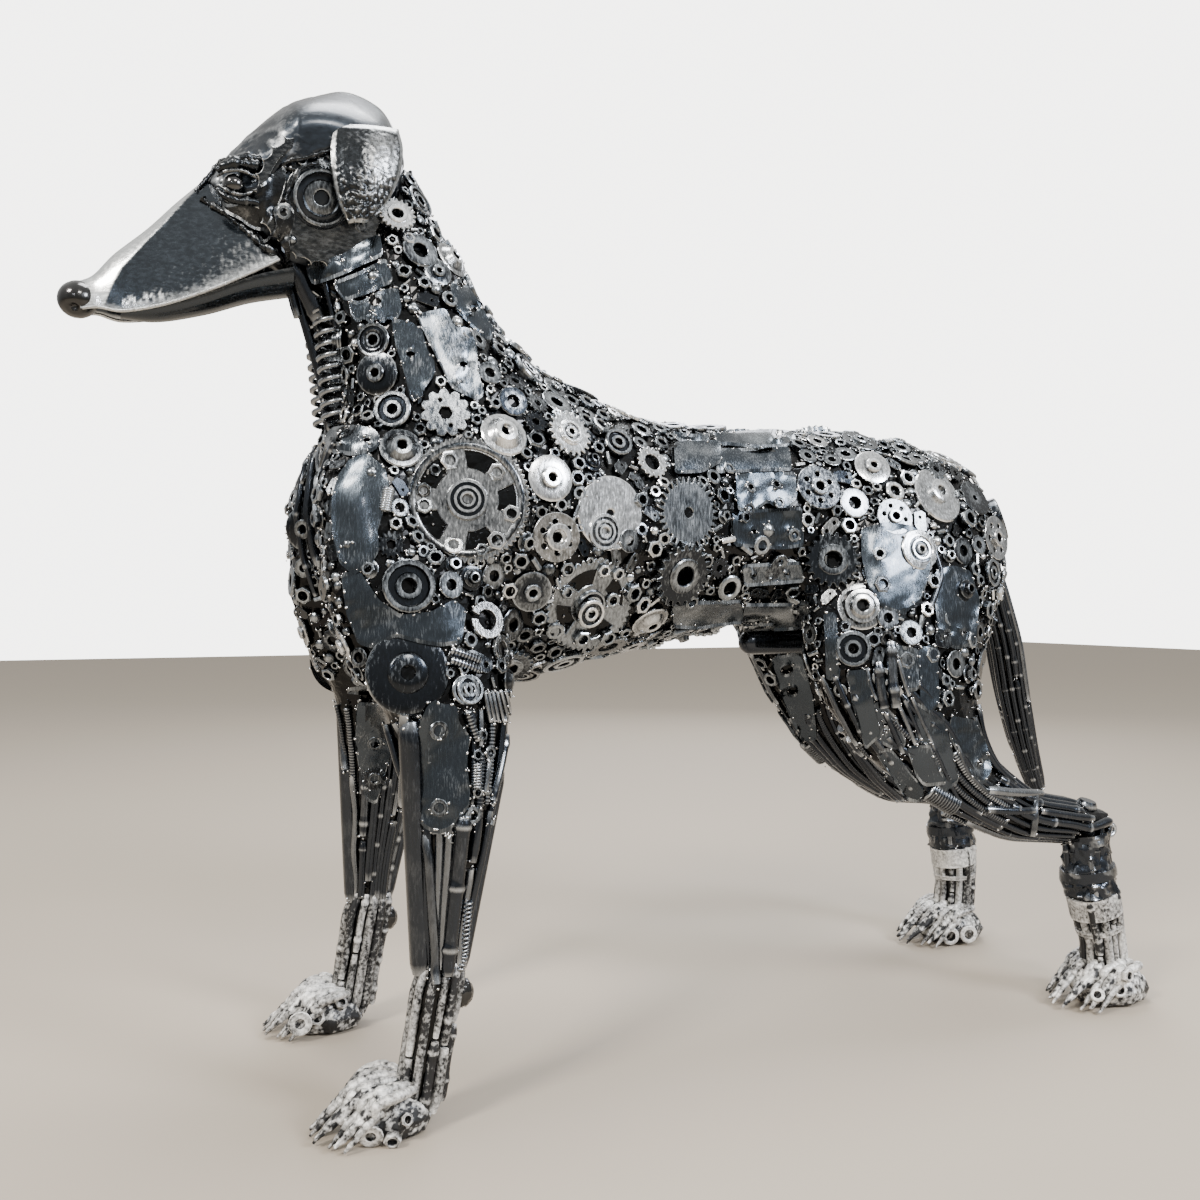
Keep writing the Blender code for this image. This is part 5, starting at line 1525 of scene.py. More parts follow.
beads = run_tree(object_of("weld_beads", weld_skin.data.copy()), bead_tree, Finish=bead_steel)
beads.materials.clear()
beads.materials.append(bead_steel)
add_piece("weld_beads", beads, None, "bright_steel")

# Tack welds: a short bright run of bead wherever two pieces of scrap meet. Each piece is
# tacked at two or three places on its rim, and each rod at both of its ends.
ON_RIM, TACK_LIFT = 1.03, 0.0008   # where on a piece's rim a tack sits, and how high
TACK_RADII = (0.0008, 0.0021)
TACK_TONES = (-0.5, -0.2, 0.1, 0.4)
tack_items = []
for centre, slope, radius, _, _, _, lift in placed:
    across = slope.orthogonal().normalized()
    over = slope.cross(across)
    for _ in range(draw.choice((1, 2, 2, 3))):
        turn = draw.uniform(0, 2 * math.pi)
        out = across * math.cos(turn) + over * math.sin(turn)
        tack_items.append((centre + out * radius * ON_RIM + slope * (lift + TACK_LIFT), slope))
for point, slope, reach in tacks:
    for _ in range(3):
        near = Vector([draw.gauss(0, 1) for _ in range(3)]).normalized() * reach
        tack_items.append((point + near, slope or near.normalized()))
tack_items = [(point, slope, draw.uniform(*TACK_RADII), KIND["tack"], draw.choice(TACK_TONES),
               draw.uniform(0, 6), SINK) for point, slope in tack_items]
for quarter in QUARTERS:
    here = [item for item in tack_items if quarter_of(item[0]) == quarter]
    lay_stock("tack_welds_" + quarter, here, bead_steel, "bright_steel")

# The head: polished sheet beaten to a hound's long muzzle, a domed skull cap, a trough of a
# lower jaw, and cast ears. Its rings are those of the imported solids, as shares of the
# height, drawn through smoothly; brightness follows how the real sheets are polished, with
# painted highlights on muzzle, skull cap and ears, and painted shade in the eye hollows and
# behind the cheek sprockets.
HEIGHT = 0.950
MUZZLE = ((-.589, .7545, -.592, .7825, .0150), (-.574, .757, -.578, .7905, .0160),
          (-.552, .754, -.560, .812, .0230),
          (-.516, .762, -.531, .839, .0320), (-.476, .778, -.506, .866, .0400),
          (-.440, .796, -.487, .885, .0470), (-.414, .811, -.475, .897, .0490))
SKULL = ((-.478, .890, -.452, .850, .034), (-.463, .913, -.428, .826, .048),
         (-.437, .944, -.404, .812, .058), (-.405, .974, -.384, .806, .064),
         (-.372, .992, -.358, .808, .067), (-.342, 1.0, -.328, .815, .066),
         (-.312, .990, -.305, .840, .060), (-.295, .966, -.292, .880, .044),
         (-.288, .940, -.287, .908, .022))
JAW = ((-.554, .7565, .005, .010), (-.520, .7635, .012, .017), (-.476, .7800, .017, .022),
       (-.436, .7990, .021, .025), (-.396, .8120, .024, .026))
EAR = ((-.366, .940, -.304, .945, .075), (-.371, .915, -.301, .922, .081),
       (-.370, .888, -.306, .893, .084), (-.364, .862, -.319, .866, .085),
       (-.355, .843, -.338, .845, .086))


def smooth_rows(rows, number):
    """Rows of numbers, drawn through smoothly and resampled."""
    table = np.array(rows, dtype=float)
    padded = np.vstack([2 * table[0] - table[1], table, 2 * table[-1] - table[-2]])
    made = []
    for s in np.linspace(0, len(table) - 1, number):
        k = min(int(s), len(table) - 2)
        t = s - k
        a, b, c, d = padded[k:k + 4]
        made.append(tuple(0.5 * (2 * b + (c - a) * t + (2 * a - 5 * b + 4 * c - d) * t ** 2
                                 + (3 * b - a - 3 * c + d) * t ** 3)))
    return made


def loft(rings, shines, sharp=60):
    """A closed skin over rings of points, with a brightness for every point."""
    bm = net_mesh()
    bright = bm.verts.layers.float["bright"]
    rows = []
    for ring, shine in zip(rings, shines):
        row = []
        for point, value in zip(ring, shine):
            vert = bm.verts.new(point)
            vert[bright] = value
            row.append(vert)
        rows.append(row)
    for low, high in zip(rows, rows[1:]):
        for k in range(len(low)):
            n = (k + 1) % len(low)
            bm.faces.new((low[k], low[n], high[n], high[k]))
    for row in (rows[0], rows[-1]):
        middle = bm.verts.new(sum((v.co for v in row), Vector()) / len(row))
        middle[bright] = row[0][bright]
        for k in range(len(row)):
            bm.faces.new((row[k], row[(k + 1) % len(row)], middle))
    bmesh.ops.recalc_face_normals(bm, faces=bm.faces)
    mesh = bpy.data.meshes.new("loft")
    bm.to_mesh(mesh)
    bm.free()
    return shaded(mesh, sharp)


def mirrored(mesh):
    """The right-hand twin of a left-hand mesh."""
    twin = mesh.copy()
    twin.transform(Matrix.Scale(-1, 4, (0, 1, 0)))
    twin.flip_normals()
    return twin


# Polished sheet, blue-grey on the sides of the muzzle and silver where it was buffed, with
# fine grey brush marks, all under thick clear lacquer that gives the wet glints; one ragged
# glint low on the front of each side is a painted highlight.
head_sheet = metal("lacquered_blue_grey_sheet", "2c3238", "e6e9e9", 0.24, 0.0030, coat=0.6,
                   pits=0.0002, brushed=(0.5, 1.0, 1.0), contrast=0.20, lift=0.40, polish=0.05)
cap_sheet = metal("brushed_blue_grey_sheet", "2a3037", "dfe3e5", 0.34, 0.0030, coat=0.5,
                  pits=0.0002, brushed=(0.5, 1.0, 1.0), contrast=0.26, lift=0.36, polish=0.20)
cast_silver = metal("hammered_cast_silver", "24272a", "cdd0d1", 0.28, 0.0030, coat=0.35,
                    pits=0.0004, contrast=0.32, lift=0.14)

ACROSS, UNDER, ALONG = 84, 16, 120
FULLNESS = 0.8                     # the power of the sine that rounds the sheet over
FLATNESS = 0.85                    # how nearly flat the sheet is from its rim to its buffed top
SHEET_WALL, HOLLOW = 0.0026, 0.40  # its thickness, and the rise of its hollow, as shares
BUFFED_TO = ((0, -.10), (.21, .0), (.28, .22), (.36, .42), (.5, .61), (.75, .77), (1, .87))
BUFFED_SHINE, BUFFED_BLUR = 0.95, 0.03
RIM_GLOW, RIM_FADE = 0.8, 0.025    # how bright the filed rim is, and how soon that fades
PAINTED_GLINT = (0.33, 0.50, 0.085, 0.030)   # a painted highlight strip: along, then how far up and how wide, as shares


def held(share):
    """A share, held between 0 and 1."""
    return min(max(share, 0), 1)


rings, shines = [], []
for row, (rim_x, rim_z, ridge_x, ridge_z, half) in enumerate(smooth_rows(MUZZLE, ALONG)):
    s = row / (ALONG - 1)
    limit = float(np.interp(s, [p for p, _ in BUFFED_TO], [q for _, q in BUFFED_TO]))
    ring, shine = [], []
    corner = math.pi / 2 * max(limit, 0.02)
    for k in range(ACROSS + 1):
        t = math.pi * k / ACROSS
        rise = max(math.sin(t), 0.0) ** FULLNESS
        over = math.cos(t)
        share = 1 - abs(2 * k / ACROSS - 1)
        if share < limit:
            part = share / limit
            rise += (math.sin(corner) ** FULLNESS * part - rise) * FLATNESS
            flat_over = math.copysign(1 + (math.cos(corner) - 1) * part, over)
            over += (flat_over - over) * FLATNESS
        ring.append(Vector((rim_x + (ridge_x - rim_x) * rise, -half * over,
                            rim_z + (ridge_z - rim_z) * rise)) * HEIGHT)
        buffed = held((share - limit) / BUFFED_BLUR + 0.5)
        scratch = lumps(Vector((ring[-1].x * 2.4, ring[-1].y, ring[-1].z)), 0.0050)
        worn_low = max(s - 0.30, 0) * math.exp(-share / 0.20)
        # A ragged painted highlight low on the front of the side, in place of a glint of the lamps
        # in the lacquer.
        painted_glint = 1.6 if PAINTED_GLINT[0] < s < PAINTED_GLINT[1] else 0.0
        painted_glint *= math.exp(-((share - PAINTED_GLINT[2]) / PAINTED_GLINT[3]) ** 2) * held(0.5 + 3 * scratch)
        plain = RIM_GLOW * math.exp(-share / RIM_FADE) + painted_glint
        plain += worn_low * (0.34 + 1.5 * max(scratch, 0))
        shine.append(buffed * BUFFED_SHINE + (1 - buffed) * plain)
    for k in range(1, UNDER):
        t = math.pi * (1 - k / UNDER)
        rise = HOLLOW * max(math.sin(t), 0.0) ** FULLNESS
        inner = half - SHEET_WALL
        ring.append(Vector((rim_x + (ridge_x - rim_x) * rise, -inner * math.cos(t),
                            rim_z + (ridge_z - rim_z) * rise)) * HEIGHT)
        shine.append(0.0)
    rings.append(ring)
    shines.append(shine)
muzzle = add_piece("muzzle_sheet", loft(rings, shines), head_sheet, "polished_sheet", "muzzle")
RIM_WIRE, RIM_UP = 0.0016, Vector((0, 0, 0.0004))
rim_lines = [[(ring[k] + RIM_UP, RIM_WIRE, 1.0, 0.2) for ring in rings[2:]] for k in (0, ACROSS)]


def on_plane(px, py, y):
    """Where a pixel's ray crosses the plane at y."""
    ray = photo_ray(px, py)
    return CAMERA_PLACE + ray * ((y - CAMERA_PLACE.y) / ray.y)


CAP_EDGE = ((240, 190), (262, 177), (285, 160), (337, 150), (400, 150))
CAP_LIFT = 0.0072                  # the cap's sheet above the back of the cheek sprocket
CAP_FADE = 1.8                     # radii of the sprocket within which the cap is pushed out
CHEEK_Y = -0.070                   # the plane in which the edge of the cap is seen
CAP_BLUR, FAR_BEHIND = 0.003, -0.05
CAP_FRONT, CAP_FRONT_BLUR = -0.415, 0.035
edge_line = [on_plane(px, py, CHEEK_Y) for px, py in CAP_EDGE]
cheek_back, cheek_axis, cheek_reach = disc_frame("cheek_sprocket_left")


def over_cheek(point):
    """A point of the skull, moved out where the cap's sheet laps over the cheek, and its share of
    painted shade in the recess behind the cheek sprocket.
    """
    twin = Vector((point.x, -abs(point.y), point.z))
    from_back = twin - cheek_back
    height = from_back.dot(cheek_axis)
    away = (from_back - cheek_axis * height).length / cheek_reach
    if away > CAP_FADE or height < FAR_BEHIND:
        return point, 0.0
    edge = float(np.interp(twin.x, [p.x for p in edge_line], [p.z for p in edge_line]))
    above = held((twin.z - edge) / CAP_BLUR + 0.5)
    near = held((CAP_FADE - away) / (CAP_FADE - 1))
    near = near * near * (3 - 2 * near) * held((twin.x - CAP_FRONT) / CAP_FRONT_BLUR)
    twin += cheek_axis * (max(CAP_LIFT - height, 0) * above * near)
    twin.y *= -1 if point.y > 0 else 1
    # Below the cap's edge and inside the sprocket's rim the skull gets painted shade.
    return twin, (1 - above) * (1.0 if away < 1.0 else 0.0)


SKULL_ALONG, SKULL_ROUND = 90, 132
HAMMERED_X, HAMMERED_Z = -0.372, 0.905   # ahead of and below these the cap is hammered
HAMMER_DEPTH, DENT_DEPTH = 0.0026, 0.0006
SHADED_SOCKET, SOCKET_REACH = Vector((-0.428, -0.050, 0.8335)), 0.017   # the left eye's hollow, which is painted with shade
rings, shines = [], []
for top_x, top_z, low_x, low_z, half in smooth_rows(SKULL, SKULL_ALONG):
    centre = Vector((top_x + low_x, 0, top_z + low_z)) * HEIGHT / 2
    up = Vector((top_x - low_x, 0, top_z - low_z)) * HEIGHT / 2
    ring, shine = [], []
    for k in range(SKULL_ROUND):
        t = 2 * math.pi * k / SKULL_ROUND
        point = centre + up * math.cos(t) + Vector((0, -half * HEIGHT * math.sin(t), 0))
        out = (point - centre).normalized()
        rough = held((HAMMERED_X - point.x) / 0.02) * min(1.0, abs(point.y) / 0.03)
        rough *= held((HAMMERED_Z - point.z) / 0.02)
        bump = lumps(point, 0.009)
        dent = lumps(point, 0.05, 7.0)
        point, recess_shade = over_cheek(point + out * (HAMMER_DEPTH * rough * bump
                                                    + DENT_DEPTH * dent - DENT_DEPTH))
        ring.append(point)
        folded = Vector((point.x, -abs(point.y), point.z))
        # Painted shade in the eye's hollow.
        socket = math.exp(-((folded - SHADED_SOCKET).length / SOCKET_REACH) ** 4)
        # A painted highlight along the top of the cap, with its dents and hammered lumps rubbed
        # bright.
        lit = 0.22 * max(math.cos(t), 0) ** 4 + 0.22 * dent + rough * (0.50 * bump + 0.05)
        shine.append(held(lit - 0.6 * recess_shade - 0.6 * socket))
    rings.append(ring)
    shines.append(shine)
skull = add_piece("skull_sheet", loft(rings, shines), cap_sheet, "polished_sheet", "skull_cap")

JAW_SIDES = 16
JAW_TURNS = [math.pi * k / JAW_SIDES for k in range(JAW_SIDES + 1)]
rings, shines = [], []
for x, z, depth, half in smooth_rows(JAW, 30):
    rings.append([Vector((x, half * math.cos(t), z - depth * math.sin(t))) * HEIGHT
                  for t in JAW_TURNS])
    shines.append([0.25 if k in (0, JAW_SIDES) else 0.02 for k in range(JAW_SIDES + 1)])
add_piece("jaw_trough", loft(rings, shines), head_sheet, "polished_sheet", "lower_jaw")

# The nose: a steel ball dipped in black gloss enamel, with a drilled nostril on each side.
gloss_black = metal("black_gloss_enamel", "020202", "1d1d1e", 0.16, 0.006, coat=0.35,
                    pits=0.0003, metallic=0.0, contrast=0.5, lift=0.25)
NOSE_CENTRE = Vector((-0.5615, 0, 0.7277))
NOSE_REACH = 0.0175


def ball(centre, radius, squash=1.0, rows=28, sides=36, shape=None):
    """A smooth ball; shape moves a unit direction to its share of the radius."""
    bm = net_mesh()
    bmesh.ops.create_uvsphere(bm, u_segments=sides, v_segments=rows, radius=1.0)
    for vert in bm.verts:
        share = shape(vert.co.normalized()) if shape else 1.0
        vert.co = centre + Vector((vert.co.x, vert.co.y, vert.co.z * squash)) * radius * share
    mesh = bpy.data.meshes.new("ball")
    bm.to_mesh(mesh)
    bm.free()
    return shaded(mesh, 80)


def nose_shape(direction):
    share = 1.0 + 0.02 * lumps(direction, 0.5)
    for side in (-1, 1):
        pit = (direction - Vector((-0.20, 0.74 * side, -0.62)).normalized()).length
        share -= 0.34 * math.exp(-(pit / 0.24) ** 4)
        share += 0.03 * math.exp(-((pit - 0.42) / 0.12) ** 2)
    return min(share, 1.0)


add_piece("nose_ball", ball(NOSE_CENTRE, NOSE_REACH, 0.95, shape=nose_shape), gloss_black,
          "black_glass", "nose")

# The eyes: black glass balls, 21 mm across, behind lids and brows built up in weld metal
# and ground along their edges.
glass = metal("black_eye_glass", "050607", "1c2024", 0.05, 0.02, coat=1.0, metallic=0.0,
              contrast=0.3, lift=0.3)
EYE = Vector((-0.4332, -0.04465, 0.8332))
for side, sign in (("left", 1), ("right", -1)):
    add_piece("eye_ball_" + side, ball(Vector((EYE.x, EYE.y * sign, EYE.z)), 0.0103), glass,
              "black_glass", "eye_" + side)
LIDS = (
    # (ahead, outwards, up) in mm from the eye's centre, then thickness in mm, brightness and
    # how lumpy the run is
    (((-15, 5, 5), (-8, 9, 8.5), (2, 11, 10.5), (12, 11, 9), (22, 8, 5)),
     (1.0, 1.5, 1.7, 1.6, 1.0), 0.50, 0.25),
    (((-13, 5, -3), (-7, 9, -8), (2, 10.5, -11), (13, 10, -8), (24, 7, 1)),
     (1.0, 1.8, 2.1, 1.8, 1.0), 0.42, 0.25),
    (((-15, 3, 10), (-6, 7, 15), (6, 8, 18), (20, 6, 18), (36, 3, 17)),
     (2.4, 4.4, 5.4, 5.2, 3.0), 0.10, 0.75),
    (((-12, 2, 16), (0, 5, 22), (14, 5, 25), (30, 3, 25), (46, 0, 24)),
     (1.8, 3.2, 4.2, 4.4, 2.4), 0.15, 0.85),
    (((24, 8, 4), (31, 9, 9), (40, 8.5, 12), (50, 7, 11), (60, 4, 9)),
     (1.6, 2.8, 3.4, 3.0, 1.8), 0.30, 0.60),
    (((-15, 3, -6), (-8, 7, -13), (3, 9, -16.5), (18, 10, -16), (34, 8, -20)),
     (2.0, 3.0, 3.4, 3.0, 2.2), 0.08, 0.60),
    (((26, 7, -4), (36, 8, -1), (46, 7, 3), (56, 5, 4)),
     (2.0, 3.2, 3.2, 2.0), 0.02, 0.50),
)


def weld_line(points, widths, shine, tone=0.1, seed=0.0, rough=0.30):
    """A lumpy run of weld metal through a few points, thickest where its widths say."""
    line = []
    number = max(int(sum((b - a).length for a, b in zip(points, points[1:])) / 0.0016), 6)
    for x, y, z, wide in smooth_rows([(*p, w) for p, w in zip(points, widths)], number):
        point = Vector((x, y, z))
        bump = lumps(point, 0.006, seed)
        line.append((point + Vector((0, 0, 0.0008)) * bump, wide * (1 + rough * bump),
                     held(shine + 0.45 * bump), tone))
    return line


for side, sign in (("left", 1), ("right", -1)):
    lines = []
    for k, (path, widths, shine, rough) in enumerate(LIDS):
        spots = [Vector((EYE.x + dx / 1000, sign * (EYE.y - dy / 1000 + 0.001), EYE.z + dz / 1000))
                 for dx, dy, dz in path]
        lines.append(weld_line(spots, [w / 1000 for w in widths], shine, 0.05, k * 3.0, rough))
    lines_object("brow_and_lids_" + side, lines, cast_silver, "cast_steel", 12, ["brow_" + side])


# The cheeks: a chain sprocket with scalloped teeth round a large ball bearing, a leaf of
# sheet behind each eye, and a run of weld where muzzle, cheek and skull cap meet.
def cheek_window(start, stop, low, high):
    """An arc-shaped opening between two angles, in degrees."""
    turns = [math.radians(start + (stop - start) * k / 12) for k in range(13)]
    return [polar(high, t) for t in turns] + [polar(low, t) for t in reversed(turns)]


SCALLOP = ((0, 1), (.08, .46), (.24, .14), (.5, 0), (.76, .14), (.92, .46))
CHEEK_SHAPES = {
    "cheek_sprocket": (head_sheet, "bright_steel", -0.02, lambda: cut_shape(
        [toothed(26, .925, SCALLOP), ring_of(.452, 32), cheek_window(75, 205, .54, .80),
         *holes([(.60, -.22)], .075), *holes([(-.55, -.62)], .05)], .075, .01, .16)),
    "cheek_bearing": (gunmetal, "bright_steel", 0.16, lambda: turned_hub(
        (.24, 0, 0), (.24, .30, .1), (.28, .36, .8), (.32, .37, .46), (.58, .33, .42),
        (.64, .27, .8), (.65, .08, 0), (.73, .08, 0), (.74, .11, .3), (.79, .11, .3),
        (.80, .08, 0), (.85, .08, 0), (.86, .40, .4), (.89, .45, 1), (.96, .45, .6), (1, .40, 1),
        (1, 0, .1), sides=44)),
}
DISC_FRAMES.update({f"{base}_{side}": disc_frame(f"{base}_{side}")
                    for base in CHEEK_SHAPES for side in SIDES})
fit_discs(CHEEK_SHAPES)
head_bm = bmesh.new()
for mesh in (muzzle.data, skull.data, *(bpy.data.objects[f"{base}_detail_left"].data
                                         for base in CHEEK_SHAPES)):
    head_bm.from_mesh(mesh)
head_tree = BVHTree.FromBMesh(head_bm)
head_bm.free()
HEAD_PLATES = (
    # tone, top above the sheet in mm, holes, outline
    ("k", 4.0, (), ((217, 199), (228, 204), (242, 201), (252, 190), (268, 180), (284, 165),
                    (286, 178), (281, 196), (273, 214), (264, 228), (254, 224), (242, 215),
                    (228, 208))),
    ("d", 6.5, ((283, 213, 4),), ((276, 226), (274, 210), (280, 202), (290, 203), (294, 214),
                                  (292, 226), (289, 236), (291, 252), (287, 256), (284, 246),
                                  (276, 243), (267, 248), (262, 243), (270, 235))),
)
HEAD_STEP = 3.2                    # pixels between the points of a plate on the head
bm = net_mesh()
for tone, top, holes_in, outline in HEAD_PLATES:
    flat, faces, _ = plate_net(rounded_off(list(outline)), holes_in, HEAD_STEP)
    points, outward = laid_left(flat, faces, head_tree)
    add_net(bm, points, outward, faces, TONES[tone], top / 1000)
cheek_leaf = thickened(bm, "cheek_leaf", 0.0030)
for side, mesh in (("left", cheek_leaf), ("right", mirrored(cheek_leaf))):
    add_piece("cheek_leaf_" + side, mesh, cast_silver, "polished_sheet")

SEAMS = (
    # pixels along each run of weld on the head, then its thickness in mm
    (((203, 200), (212, 206), (224, 213), (238, 224), (252, 236), (266, 250), (280, 262)), 2.8),
    (((285, 172), (284, 164), (290, 160), (305, 157), (322, 152), (337, 148)), 2.2),
    (((262, 243), (272, 252), (283, 262), (292, 270)), 3.2),
    (((196, 192), (200, 182), (208, 172), (220, 165), (236, 160)), 2.4),
    (((288, 168), (296, 170), (306, 166), (318, 163)), 2.0),
    (((299, 170), (294, 180), (289, 190), (286, 200)), 2.2),
)
lines = list(rim_lines)
for k, (pixels, wide) in enumerate(SEAMS):
    spots = [hit + outward * 0.0008 for hit, outward in
             (seen_at(px, py, head_tree) for px, py in pixels) if hit is not None]
    run = weld_line(spots, [wide / 1000] * len(spots), 0.22, 0.05, k * 5.0, 0.75)
    lines.append(run)
    lines.append([(Vector((p.x, -p.y, p.z)), w, b, t) for p, w, b, t in run])
lines_object("head_welds_and_rims", lines, cast_silver, "cast_steel", 10)

# Nuts welded to the head: a toothed lock nut by the ear, and a plain one on each leaf.
HEAD_NUTS = ((326, 161, 9, "open_gear", "b", 3), (283, 213, 7, "ring", "m", 6),
             (303, 163, 5, "small_nut", "m", 2), (292, 240, 5, "dome", "d", 3),
             (361, 226, 6, "washer", "d", 1))
items = []
for px, py, pixels, kind, tone, lift in HEAD_NUTS:
    hit, outward = seen_at(px, py, head_tree)
    radius = pixels * depth_of(hit) / FOCAL_PIXELS
    for sign in (1, -1):
        items.append((Vector((hit.x, hit.y * sign, hit.z)),
                      Vector((outward.x, outward.y * sign, outward.z)), radius, KIND[kind],
                      TONES[tone], 0.4, lift / 1000))
lay_stock("head_nuts", items, gunmetal, "bright_steel")

# The ears: cast plates 5 mm thick, hammered all over, with a bright filed rim and a painted
# highlight towards the rear.
EAR_DOWN, EAR_OVER = 84, 54
EAR_THICK, EAR_BULGE, EAR_DENTS = 0.0050, 0.010, 0.0019
FILED_OFF, FILED_SHARE = 0.0016, 0.06   # how much the rim is thinned, and how wide it is
outer, inner, shine = [], [], []
for row, (front_x, front_z, rear_x, rear_z, out) in enumerate(smooth_rows(EAR, EAR_DOWN)):
    down = row / (EAR_DOWN - 1)
    for k in range(EAR_OVER):
        share = k / (EAR_OVER - 1)
        bulge = EAR_BULGE * math.sin(math.pi * share) * (0.4 + 0.6 * math.sin(math.pi * down))
        base = Vector((front_x + (rear_x - front_x) * share, -out - bulge,
                       front_z + (rear_z - front_z) * share)) * HEIGHT
        rim = min(share, 1 - share, down, 1 - down)
        dent = lumps(base, 0.0046)
        even = min(rim / FILED_SHARE, 1.0)
        scaly = 0.25 + 0.75 * held((down - 0.35) / 0.35)
        filed = FILED_OFF * (1 - even)
        outer.append(base + Vector((0, -EAR_DENTS * dent * even * scaly + filed, 0)))
        inner.append(base + Vector((0, EAR_THICK - filed, 0)))
        # A painted highlight towards the rear of the ear.
        lit = math.exp(-((share - 0.72) / 0.30) ** 2 - ((down - 0.36) / 0.34) ** 2)
        shine.append(held(0.9 if even < 0.75 else 0.26 + 0.34 * scaly * dent + 0.50 * lit))
bm = net_mesh()
bright = bm.verts.layers.float["bright"]
sheets = []
for points in (outer, inner):
    sheet = []
    for point, value in zip(points, shine):
        vert = bm.verts.new(point)
        vert[bright] = value
        sheet.append(vert)
    sheets.append(sheet)
for r in range(EAR_DOWN - 1):
    for c in range(EAR_OVER - 1):
        k = r * EAR_OVER + c
        for sheet in sheets:
            bm.faces.new((sheet[k], sheet[k + 1], sheet[k + EAR_OVER + 1], sheet[k + EAR_OVER]))
border = list(range(EAR_OVER))
border += [r * EAR_OVER + EAR_OVER - 1 for r in range(1, EAR_DOWN)]
border += [(EAR_DOWN - 1) * EAR_OVER + c for c in reversed(range(EAR_OVER - 1))]
border += [r * EAR_OVER for r in reversed(range(1, EAR_DOWN - 1))]
for here, there in zip(border, border[1:] + border[:1]):
    bm.faces.new((sheets[0][here], sheets[0][there], sheets[1][there], sheets[1][here]))
bmesh.ops.recalc_face_normals(bm, faces=bm.faces)
ear_mesh = bpy.data.meshes.new("ear")
bm.to_mesh(ear_mesh)
bm.free()
shaded(ear_mesh, 50)
for side, mesh in (("left", ear_mesh), ("right", mirrored(ear_mesh))):
    add_piece("cast_ear_" + side, mesh, cast_silver, "cast_steel", "ear_" + side)

# The throat: a flat bar down the middle, a dark tube and thinner rods beside it, and a
# compression spring of 5 mm wire on each side.
THROAT_BAR = ((-.376, .786), (-.370, .754), (-.357, .710), (-.346, .672), (-.338, .622))
bar = [Vector((x, 0, z)) for x, z in THROAT_BAR]
BAR_RADIUS = 0.0055
lines_object("throat_bar_flat", [rod_line(bar, BAR_RADIUS, "plain", 0.0)], leg_steel, "gunmetal",
             8, ["throat_bar"])
SPRING_FOOT = Vector((-0.3344, 0, 0.630))
SPRING_HEAD = Vector((-0.3439, 0, 0.734))
SPRING_OUT, SPRING_COIL, SPRING_WIRE, SPRING_TURNS = 0.0225, 0.0140, 0.0026, 9.5
THROAT_RODS = (
    # pixels of the top and the foot, y of both, radius in mm, kind
    (292, 258, 322, 322, -0.016, 10.0, "plain"), (333, 288, 345, 332, -0.030, 3.2, "plain"),
    (322, 272, 337, 330, -0.034, 2.8, "collared"), (283, 262, 297, 318, 0.004, 4.0, "plain"),
)
for side, sign in (("left", -1), ("right", 1)):
    out = Vector((0, SPRING_OUT * sign, 0))
    rods = [spring_line([SPRING_FOOT + out, SPRING_HEAD + out], SPRING_COIL, SPRING_WIRE,
                        SPRING_TURNS, 0.05, 16)]
    for px_top, py_top, px_low, py_low, y, reach, kind in THROAT_RODS:
        top = on_plane(px_top, py_top, y)
        low = on_plane(px_low, py_low, y)
        if side == "right":
            top.y, low.y = -top.y, -low.y
        rods.append(rod_line([top, low], reach / 1000, kind, -0.05))
    lines_object("throat_springs_and_rods_" + side, rods, leg_steel, "gunmetal", 12,
                 ["throat_spring_" + side])

